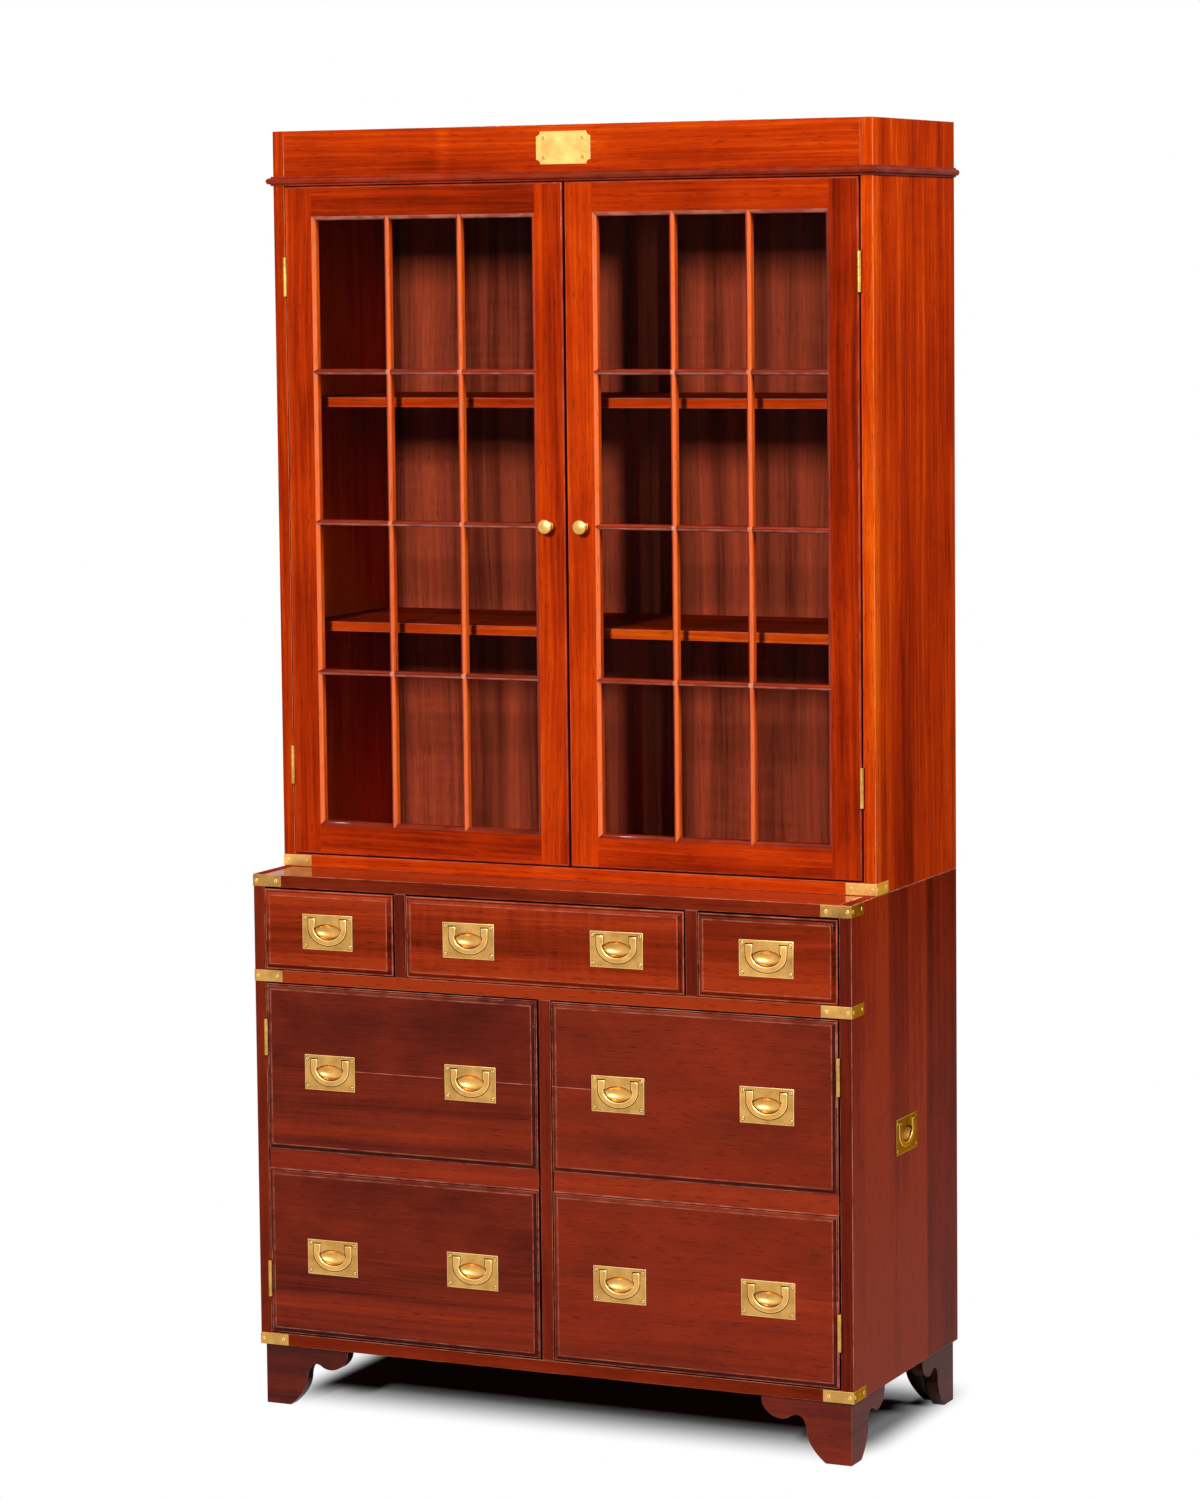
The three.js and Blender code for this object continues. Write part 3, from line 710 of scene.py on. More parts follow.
def flat_outline(points, thickness, rounding=0.0, resolution=10):
    """A flat shape from knots with their handles, thick about y = 0, with its outline in x and z"""
    curve = bpy.data.curves.new("outline", "CURVE")
    curve.dimensions, curve.fill_mode, curve.resolution_u = "2D", "BOTH", resolution
    curve.extrude = thickness / 2 - rounding
    curve.bevel_depth, curve.bevel_resolution, curve.offset = rounding, 2, -rounding
    spline = curve.splines.new("BEZIER")
    spline.bezier_points.add(len(points) - 1)
    spline.use_cyclic_u = True
    for knot, (place, before, after) in zip(spline.bezier_points, points):
        knot.co = (*place, 0.0)
        knot.handle_left_type = "FREE" if before else "VECTOR"
        knot.handle_right_type = "FREE" if after else "VECTOR"
        if before:
            knot.handle_left = (*before, 0.0)
        if after:
            knot.handle_right = (*after, 0.0)
    bm = outcome(in_scene("outline", curve))
    bmesh.ops.remove_doubles(bm, verts=bm.verts, dist=1e-6)
    placed(bm, TO_FRONT)
    bmesh.ops.recalc_face_normals(bm, faces=bm.faces)
    return bm


def bail_points(grow):
    """The bail's outline: two square ears above a half oval, grown all round"""
    outer, top, bottom = 34.3 * MM + grow, BAIL_TOP + grow, -21.5 * MM - grow
    ear_inner, ear_bottom, arm_inner = 22.0 * MM - grow, 8.5 * MM - grow, 24.4 * MM - grow
    turn, inner_bottom = ear_bottom - 2.4 * MM, -12.5 * MM + grow
    low, inner_low = (turn - bottom) * ROUND_SHARE, (turn - inner_bottom) * ROUND_SHARE
    reach, inner_reach = outer * ROUND_SHARE, arm_inner * ROUND_SHARE
    return [
        ((-outer, top), None, None),
        ((-outer, turn), None, (-outer, turn - low)),
        ((0.0, bottom), (-reach, bottom), (reach, bottom)),
        ((outer, turn), (outer, turn - low), None),
        ((outer, top), None, None),
        ((ear_inner, top), None, None),
        ((ear_inner, ear_bottom), None, None),
        ((arm_inner, turn), None, (arm_inner, turn - inner_low)),
        ((0.0, inner_bottom), (inner_reach, inner_bottom), (-inner_reach, inner_bottom)),
        ((-arm_inner, turn), (-arm_inner, turn - inner_low), None),
        ((-ear_inner, ear_bottom), None, None),
        ((-ear_inner, top), None, None),
    ]


def add_screws(bm, seed, seats, tone=0.3):
    """Adds slotted screw heads that face -Y before their seats' places are applied, each turned by chance"""
    height, rim, half_slot, slot_depth = 1.6 * MM, 0.35 * MM, 0.5 * MM, 0.7 * MM
    chance = random.Random(seed)
    for seat in seats:
        head = rod(bpy.context.scene.bookcase_brass.screw_width / 2, height, segments=20)
        bevel(head, face_at(head, Z, height / 2).edges[:], rim)
        parts = score(head, [face_at(head, Z, height / 2)], X, [-half_slot, half_slot])
        slot = push(head, nearest(parts, Vector()), (0, 0, -slot_depth))
        turn = TO_FRONT @ Matrix.Rotation(chance.uniform(0, math.pi), 4, "Z")
        placed(head, seat @ turn)
        lay_sheen(head, tone)
        slot_sides = [face for edge in slot.edges for face in edge.link_faces]
        lay_sheen(head, -0.45, [slot, *slot_sides], rubbed=0.0)
        join(bm, head)


def handle_plate():
    """The recessed plate: a flange on a cast body, cut for the bail, its ears, the fingers and the screws"""
    sunk, overlap, clear, above = 0.2 * MM, 0.4 * MM, 0.8 * MM, 5 * MM
    front = -PLATE_THICKNESS
    flange = block((-PLATE_WIDTH / 2, front, -PLATE_HEIGHT / 2), (PLATE_WIDTH / 2, sunk, PLATE_HEIGHT / 2))
    soften(flange, ROUNDING["plate"], faces=[face_at(flange, Y, front)])
    body_x, body_z = PLATE_BODY[0] / 2, PLATE_BODY[1] / 2
    body = block((-body_x, -overlap, -body_z), (body_x, PLATE_BODY[2], body_z))
    bail_back, bail_front = front - BAIL_PROUD + BAIL_THICKNESS + clear, front - above
    recess = flat_outline(bail_points(clear), bail_back - bail_front)
    placed(recess, Matrix.Translation((0, (bail_back + bail_front) / 2, 0)))
    dish = bmesh.new()
    dish_rise, dish_size = 0.9 * MM, (24.4 * MM, 9 * MM, 12.2 * MM)
    bmesh.ops.create_uvsphere(dish, u_segments=64, v_segments=32, radius=1.0)
    placed(dish, Matrix.Translation((0, front, dish_rise)) @ Matrix.Diagonal((*dish_size, 1)))
    ear_start, ear_end, sweep, axis_y, axis_z = 21.4 * MM, 34.9 * MM, 4.5 * MM, 0.5 * MM, 18.5 * MM
    ears = [
        block((start, bail_front, axis_z - sweep), (end, axis_y + sweep, axis_z + sweep))
        for start, end in ((-ear_end, -ear_start), (ear_start, ear_end))
    ]
    seat_radius, seat_length = bpy.context.scene.bookcase_brass.screw_width / 2 + 0.7 * MM, 1.2 * MM
    seats = [
        rod(seat_radius, seat_length, Matrix.Translation((across, front, up)) @ TO_FRONT)
        for across, up in SCREW_PLACES
    ]
    bm = boolean(boolean(flange, [body], "UNION"), [recess, dish, *ears, *seats], "DIFFERENCE")
    lay_sheen(bm, -0.03, rubbed=0.42)
    # The cut-away faces are darkened, as tarnish and as painted shade in the recess; the bowl's faces are
    # painted lighter as they turn up and darker under the lip above it: painted light and shade
    cut = [face for face in bm.faces if face.calc_center_median().y > front + 0.15 * MM]
    lay_sheen(bm, -0.5, cut, rubbed=0.0)
    bowl_x, bowl_z, level_back = 24.5 * MM, 12.3 * MM, 3.9 * MM
    for face in cut:
        curved = max(map(abs, face.normal)) < 0.999 or face.calc_center_median().y > level_back
        outermost = max(math.hypot(vert.co.x / bowl_x, vert.co.z / bowl_z) for vert in face.verts)
        if curved and outermost < 1.001:
            # Painted light: the bowl is lighter where its faces turn up
            lay_sheen(bm, 0.05 + 0.16 * face.normal.z, [face], rubbed=0.0)
    return bm


# Operators


class BOOKCASE_OT_base_case(bpy.types.Operator):
    """Dress the base cabinet's boards and its back"""

    bl_idname = "bookcase.base_case"
    bl_label = "Base cabinet"

    # Where each board of a side ends, counted from the front, with its tones at the top and the bottom: each
    # board grows lighter towards the bottom, as painted light
    SIDE_BOARDS = ((0.34, 0.36, 0.66), (0.53, 0.0, 0.45), (0.7, 0.15, 0.45), (1.0, -0.15, 0.05))

    def execute(self, context):
        # The top face of the base top board gets a lighter tone, painted light on the ledge, and more polish
        add_board("base_top_board", X, "base_mahogany", -0.02, {"tone": 0.34, "polish": 0.6}, polish=0.05)
        add_board("base_bottom_board", X, "base_mahogany", 0.10)
        add_board("drawer_rail_board", X, "base_mahogany", 0.66)
        for node in ("drawer_divider_left", "drawer_divider_right", "cupboard_partition"):
            add_board(node, Z, "base_mahogany", -0.06, polish=0.08)
        add_board("base_back_panel", Z, "inner_wood", figure=0.8, polish=0.02)
        for side_name, side in SIDES:
            self.add_side(f"base_side_{side_name}", side_name, side)
        return {"FINISHED"}

    def add_side(self, node, side_name, side):
        """A side is glued up from four upright boards, and its front edge was stained on its own"""
        low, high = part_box(node)
        left, right = sorted((side * INNER_HALF, side * HALF_WIDTH))
        bm = board((left, low.y, low.z), (right, high.y, high.z))
        cut_pockets(bm, X, side * HALF_WIDTH, plate_centres(f"side_{side_name}"), (-side, 0, 0))
        depth = CASE_BACK - BASE_FRONT
        score(bm, bm.faces, Y, [BASE_FRONT + depth * end for end, _, _ in self.SIDE_BOARDS[:-1]])
        lay_grain(bm, node, Z, -0.22 if side > 0 else 0.06, polish=0.08)
        front = BASE_FRONT
        for share, top_tone, bottom_tone in self.SIDE_BOARDS:
            back = BASE_FRONT + depth * share
            faces = [face for face in bm.faces if front + 1 * MM < face.calc_center_bounds().y < back]
            lay_grain(bm, f"{node}{share}", Z, 0.0, faces, figure=0.55, polish=0.0)
            # Painted light: each board's tone grows lighter towards the bottom
            shift(bm, "tone", fading(Z, (low.z, bottom_tone), (high.z, top_tone)), faces)
            shift(bm, "polish", fading(Z, (low.z, 0.14), (high.z, 0.0)), faces)
            if front == BASE_FRONT:
                shift(bm, "tone", fading(Y, (front, -0.35), (back, 0.1)), faces)
            front = back
        dress(node, bm, "base_mahogany")


class BOOKCASE_OT_feet(bpy.types.Operator):
    """Dress the four bracket feet"""

    bl_idname = "bookcase.feet"
    bl_label = "Bracket feet"

    # The sawn outline, as shares of a wing's length and height: each knot with the handles on both its sides
    OUTLINE_SHARES = (
        ((0.0, 0.0), None, None),
        ((0.29, 0.0), None, (0.39, 0.12)),
        ((0.5, 0.48), (0.49, 0.29), (0.505, 0.66)),
        ((0.61, 0.73), (0.55, 0.73), (0.665, 0.73)),
        ((0.725, 0.66), (0.69, 0.67), (0.84, 0.6)),
        ((1.0, 0.92), (0.985, 0.74), None),
        ((1.0, 1.0), None, None),
        ((0.0, 1.0), None, None),
    )
    FRONT_WING, SIDE_WING, THICKNESS = 149 * MM, 140 * MM, 20 * MM

    def execute(self, context):
        for place, inwards in (("front", 1), ("back", -1)):
            for side_name, side in SIDES:
                self.add_foot(f"foot_{place}_{side_name}", side, inwards)
        return {"FINISHED"}

    def add_foot(self, node, side, inwards):
        """A foot's front and side wings, which meet at the corner"""
        low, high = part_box(node)
        corner = Vector((high.x if side > 0 else low.x, low.y if inwards > 0 else high.y, low.z))
        level, deep = Vector((-side, 0, 0)), Vector((0, inwards, 0))
        whole = bmesh.new()
        for wing, along, across in ((self.FRONT_WING, level, deep), (self.SIDE_WING, deep, level)):
            bracket = self.bracket(wing, high.z - low.z)
            turn = Matrix((along, across, Vector((0, 0, 1)))).transposed().to_4x4()
            placed(bracket, Matrix.Translation(corner) @ turn)
            if turn.determinant() < 0:
                bmesh.ops.reverse_faces(bracket, faces=bracket.faces)
            tone = -0.06 if node == "foot_front_right" else -0.28
            lay_grain(bracket, f"{node}{wing}", X if along.x else Y, tone, polish=0.26)
            join(whole, bracket)
        dress(node, whole, "base_mahogany")

    def bracket(self, wing, height):
        """One sawn bracket, mitred at its corner x = 0 and running along +X, with its outer face at y = 0"""
        points = [
            tuple(share and (share[0] * wing, share[1] * height) for share in knot)
            for knot in self.OUTLINE_SHARES
        ]
        bm = flat_outline(points, self.THICKNESS, resolution=12)
        placed(bm, Matrix.Translation((0, self.THICKNESS / 2, 0)))
        cut = bmesh.ops.bisect_plane(
            bm, geom=[*bm.faces, *bm.edges, *bm.verts], dist=1e-7, plane_no=(1, -1, 0), clear_inner=True
        )
        rim = [item for item in cut["geom_cut"] if isinstance(item, bmesh.types.BMEdge)]
        bmesh.ops.contextual_create(bm, geom=rim)
        soften(bm, ROUNDING["bracket"], least_angle=60.0)
        return bm


# A moulded front, from its edge inwards: a rim and a fillet, a step up, and an ovolo up to its field
FILLET_PLACE = BASE_FRONT - 2 * MM
RIM_WIDTH, FILLET_WIDTH, STEP_RISE = 1.2 * MM, 2.3 * MM, 1 * MM
OVOLO_WIDTH, OVOLO_RISE, OVOLO_STEPS = 6 * MM, 3 * MM, 5
# How much each part of it is painted darker, and how much worn colour it gets: painted shade in the flank,
# the fillet, the step and the shaded runs of the ovolo, and on the rim and the field's edge worn colour that
# also stands for painted highlights
MOULDING_SHADE_AND_WEAR = {
    "flank": (-0.5, 0.0),
    "rim": (0.0, 0.6),
    "fillet": (-0.3, 0.0),
    "step": (-0.45, 0.0),
    "shaded": (-0.4, -0.3),
    "lit": (-0.05, -0.2),
    "edge": (0.0, 0.55),
}


def mould_front(bm, face):
    """A fillet, a step and an ovolo up to the raised field of a drawer front"""
    inset(bm, face, RIM_WIDTH)
    inset(bm, face, FILLET_WIDTH)
    face = push(bm, face, (0, -STEP_RISE, 0))
    for step in range(OVOLO_STEPS):
        start, end = (math.pi / 2 * share / OVOLO_STEPS for share in (step, step + 1))
        lift = OVOLO_RISE * (math.sin(end) - math.sin(start))
        inset(bm, face, OVOLO_WIDTH * (math.cos(start) - math.cos(end)), (0, -lift, 0))
    return face


def moulding_part(face):
    """Which part of a moulded front a face belongs to, if any"""
    raised, normal, slack = FILLET_PLACE - face.calc_center_median().y, face.normal, 0.1 * MM
    field = STEP_RISE + OVOLO_RISE
    level, upright = normal.y < -0.9, abs(normal.y) < 0.3
    if abs(raised) < slack and level:
        return "rim" if narrowest(face) < (RIM_WIDTH + FILLET_WIDTH) / 2 - slack else "fillet"
    if slack < raised < STEP_RISE + slack / 2 and upright:
        return "step"
    if raised < -STEP_RISE and upright:
        return "flank"
    if STEP_RISE + slack / 2 < raised < field - 2 * slack and -0.99 < normal.y < -0.05:
        return "shaded" if normal.x > 0.05 or normal.z < -0.05 else "lit"
    return "edge" if field - 2 * slack < raised < field - slack / 10 and level else None


def paint_moulding_shade_and_wear(bm):
    """Paints shade into a front's moulding, darker on its shaded runs, and worn colour with painted
    highlights on its two edges
    """
    bm.normal_update()
    for face in bm.faces:
        if part := moulding_part(face):
            for layer, amount in zip(("tone", "wear"), MOULDING_SHADE_AND_WEAR[part]):
                shift(bm, layer, amount, [face])


class BOOKCASE_OT_drawers(bpy.types.Operator):
    """Dress the three drawers with their moulded fronts and their boxes"""

    bl_idname = "bookcase.drawers"
    bl_label = "Drawers"

    def execute(self, context):
        for name in ("left", "middle", "right"):
            node = f"drawer_front_{name}"
            low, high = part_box(node)
            bm = block((low.x, FILLET_PLACE, low.z), high)
            soften(bm, ROUNDING["drawer_front"])
            field = mould_front(bm, face_at(bm, Y, FILLET_PLACE))
            cut_pockets(bm, Y, field.calc_center_median().y, plate_centres(f"drawer_{name}"), (0, 1, 0))
            lay_grain(bm, node, X, 0.36 if name == "left" else 0.22, figure=1.3, polish=0.02)
            paint_moulding_shade_and_wear(bm)
            dress(node, bm, "base_mahogany", f"drawer_{name}")
            self.add_box(f"drawer_box_{name}", f"drawer_{name}")
        return {"FINISHED"}

    def add_box(self, node, body):
        """An open box, hollow under its bottom board too"""
        wall, rise, bottom = 12 * MM, 6 * MM, 6 * MM
        low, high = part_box(node)
        bm = block(low, high)
        for place, move in ((high.z, low.z + rise + bottom - high.z), (low.z, rise)):
            push(bm, inset(bm, face_at(bm, Z, place), wall), (0, 0, move))
        soften(bm, ROUNDING["drawer_box"])
        lay_grain(bm, node, Y, 0.1, polish=0.03)
        dress(node, bm, "inner_wood", body)


class BOOKCASE_OT_panel_doors(bpy.types.Operator):
    """Dress the two cupboard doors, each faced as two deep drawers"""

    bl_idname = "bookcase.panel_doors"
    bl_label = "Cupboard doors"

    HALF_RAIL, HALF_SEAM = 16 * MM, 0.6 * MM
    # The boards meet a little above the handles' middles
    JOINT_RISE = 5 * MM
    # Where the open part of each upper seam ends, across the door
    CRACK_SHARES = {"left": 0.33, "right": 0.14}
    # The tones and figures of each door's lower and upper front
    FRONT_LOOKS = {"left": ((-0.08, 1.25), (-0.1, 0.7)), "right": ((0.12, 0.5), (0.03, 0.3))}
    # How each kind of board differs in tone, with its own figure and wear where it has them
    BOARD_LOOKS = {"plain": (-0.06, 0.15, None), "striped": (0.04, None, None), "seam": (0.4, 0.1, 1.0)}

    def execute(self, context):
        for side_name, _ in SIDES:
            self.add_door(f"panel_door_{side_name}", side_name)
        return {"FINISHED"}

    def add_door(self, node, side_name):
        """A door with two raised fronts, the rail between them and the notches for its hinges"""
        low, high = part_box(node)
        middle = (low.z + high.z) / 2
        bm = block((low.x, BASE_FRONT, low.z), high)
        front = face_at(bm, Y, BASE_FRONT)
        parts = score(bm, [front], Z, [middle - self.HALF_RAIL, middle + self.HALF_RAIL])
        for part in sorted(parts, key=lambda item: item.calc_center_median().z)[::2]:
            mould_front(bm, push(bm, part, (0, FILLET_PLACE - BASE_FRONT, 0)))
        soften(bm, ROUNDING["panel_door"])
        centres = plate_centres(f"door_{side_name}")
        cut_pockets(bm, Y, min(face.calc_center_median().y for face in bm.faces), centres, (0, 1, 0))
        joints = sorted({round(spot.z, 5) + self.JOINT_RISE for spot in centres})
        places = [joints[0], joints[1] - self.HALF_SEAM, joints[1] + self.HALF_SEAM]
        parts = score(bm, bm.faces, Z, places)
        crack_end = low.x + (high.x - low.x) * self.CRACK_SHARES[side_name]
        seam = [face for face in parts if abs(face.calc_center_bounds().z - joints[1]) < self.HALF_SEAM]
        score(bm, seam, X, [crack_end])
        bm = boolean(bm, hinge_notches("base", side_name), "DIFFERENCE")
        bm.normal_update()
        self.lay_boards(bm, node, side_name, middle, joints, crack_end)
        paint_moulding_shade_and_wear(bm)
        rail = [
            face for face in bm.faces
            if abs(face.calc_center_bounds().z - middle) < 0.9 * self.HALF_RAIL
            and abs(face.calc_center_median().y - BASE_FRONT) < 10 * SAME_PLACE
        ]
        shift(bm, "tone", 0.24, rail)
        dress(node, bm, "base_mahogany", node)

    def lay_boards(self, bm, node, side_name, middle, joints, crack_end):
        """Each deep front is a plain board glued over a striped one, and part of the upper seams shows"""
        boards = {}
        for face in bm.faces:
            place = face.calc_center_bounds()
            upper = place.z > middle
            joint = joints[upper]
            cracked = upper and face.normal.y < -0.5 and (place.x > crack_end) == (side_name == "left")
            if cracked and abs(place.z - joint) < self.HALF_SEAM:
                kind = "seam"
            else:
                kind = "plain" if place.z > joint else "striped"
            boards.setdefault((kind, joint, upper), []).append(face)
        for (kind, joint, upper), faces in boards.items():
            tone, front_figure = self.FRONT_LOOKS[side_name][upper]
            lift, figure, wear = self.BOARD_LOOKS[kind]
            lay_grain(bm, f"{node}{kind}{joint}", X, tone + lift, faces, figure or front_figure, 0.15, wear)


class BOOKCASE_OT_upper_case(bpy.types.Operator):
    """Dress the upper case's boards, its shelves and its back"""

    bl_idname = "bookcase.upper_case"
    bl_label = "Upper case"

    # A pale streak in the frieze, a painted sheen, from its left to its right, paler towards its middle
    PAINTED_SHEEN_STREAK = [-226 * MM, -221 * MM, -216 * MM, -206 * MM, -201 * MM, -196 * MM]

    def execute(self, context):
        for side_name, side in SIDES:
            self.add_side(f"upper_side_{side_name}", side)
        add_board("upper_bottom_board", X, "upper_mahogany", 0.1)
        add_board("upper_top_board", X, "upper_mahogany")
        bm = board(*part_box("frieze_board"))
        score(bm, bm.faces, X, self.PAINTED_SHEEN_STREAK)
        lay_grain(bm, "frieze_board", X, 0.01)
        for start, end in zip(self.PAINTED_SHEEN_STREAK[:3], self.PAINTED_SHEEN_STREAK[:2:-1]):
            # Painted sheen: the streak's faces are lighter
            shift(bm, "tone", 0.035, [face for face in bm.faces if start < face.calc_center_bounds().x < end])
        dress("frieze_board", bm, "upper_mahogany")
        for node in ("shelf_lower", "shelf_upper"):
            # The shelves' tops are darker than their edges and undersides: painted shade inside the case
            add_board(node, X, "upper_mahogany", 0.10, {"tone": -0.22})
        add_board("upper_back_panel", Z, "inner_wood", figure=1.1, polish=0.02)
        self.add_bead("cornice_bead")
        return {"FINISHED"}

    def add_side(self, node, side):
        """A side, with an inner face painted paler down each compartment: painted light under the shade of
        each shelf
        """
        bm = board(*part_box(node))
        lay_grain(bm, node, Z, 0.08, figure=0.7, polish=0.01)
        shelves = [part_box(shelf)[0].z for shelf in ("shelf_lower", "shelf_upper")]
        inner = score(bm, facing(bm, X, -side), Z, shelves)
        lay_grain(bm, node, Z, 0.0, inner, figure=0.4, polish=0.0)
        for face in inner:
            heights = [vert.co.z for vert in face.verts]
            top = min(max(heights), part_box("upper_top_board")[0].z)
            # Painted light: paler towards the bottom of each compartment, darker under the shelf or top above
            # it
            shift(bm, "tone", fading(Z, (min(heights), 0.6), (top, 0.0)), [face])
        dress(node, bm, "upper_mahogany")

    def add_bead(self, node):
        """The bead: its stepped section runs round three sides, mitred, and its nose is rounded"""
        low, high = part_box(node)
        height = high.z - low.z
        wall, nose, fillet, step = 0.3 * MM, 9 * MM, 3 * MM, 2.5 * MM
        lower_half = ((wall, 0.0), (fillet, 0.0), (fillet, step), (nose, step))
        section = (*lower_half, *((out, height - up) for out, up in reversed(lower_half)))
        bm = bmesh.new()
        start = [bm.verts.new((-HALF_WIDTH - out, CASE_BACK, low.z + up)) for out, up in section]
        face = bm.faces.new(start)
        moves = (
            lambda co: (co.x, UPPER_FRONT + co.x + HALF_WIDTH, co.z),
            lambda co: (-co.x, co.y, co.z),
            lambda co: (co.x, CASE_BACK, co.z),
        )
        for move in moves:
            face = push(bm, face)
            for vert in face.verts:
                vert.co = move(vert.co)
        bm.faces.new(reversed(start))
        bmesh.ops.recalc_face_normals(bm, faces=bm.faces)
        rim, front = HALF_WIDTH + nose - SAME_PLACE, UPPER_FRONT - nose + SAME_PLACE
        outer = [
            edge for edge in bm.edges
            if all(abs(vert.co.x) > rim or vert.co.y < front for vert in edge.verts)
            and abs(edge.verts[0].co.z - edge.verts[1].co.z) < SAME_PLACE
        ]
        bevel(bm, outer, ROUNDING["bead"], segments=6)
        lay_grain(bm, node, X, -0.22, polish=0.1, wear=0.1)
        beside = HALF_WIDTH + 10 * SAME_PLACE
        returns = [face for face in bm.faces if abs(face.calc_center_median().x) > beside]
        lay_grain(bm, node + "_return", Y, -0.22, returns, polish=0.1, wear=0.1)
        dress(node, bm, "upper_mahogany", sharp_angle=40.0)


def pane_limits(start, end, count):
    """The openings' limits along one direction, each with the width of its moulding at either end"""
    half_bar, sight_mould, bar_mould = 4.75 * MM, 6.5 * MM, 4 * MM
    pitch = (end - start) / count
    ends = [(0, sight_mould), *[(half_bar, bar_mould)] * (count - 1), (0, sight_mould)]
    return [
        (start + pitch * number + gap, start + pitch * (number + 1) - next_gap, mould, next_mould)
        for number, ((gap, mould), (next_gap, next_mould)) in enumerate(zip(ends, ends[1:]))
    ]


def with_mouldings(panes):
    """The openings' limits with their mouldings"""
    return [(start - mould, end + next_mould) for start, end, mould, next_mould in panes]


def bar_middles(panes):
    return [(before[1] + after[0]) / 2 for before, after in zip(panes, panes[1:])]


def beside_bars(panes, reach):
    """The places at a reach on both sides of each bar's middle"""
    return [middle + side * reach for middle in bar_middles(panes) for side in (-1, 1)]


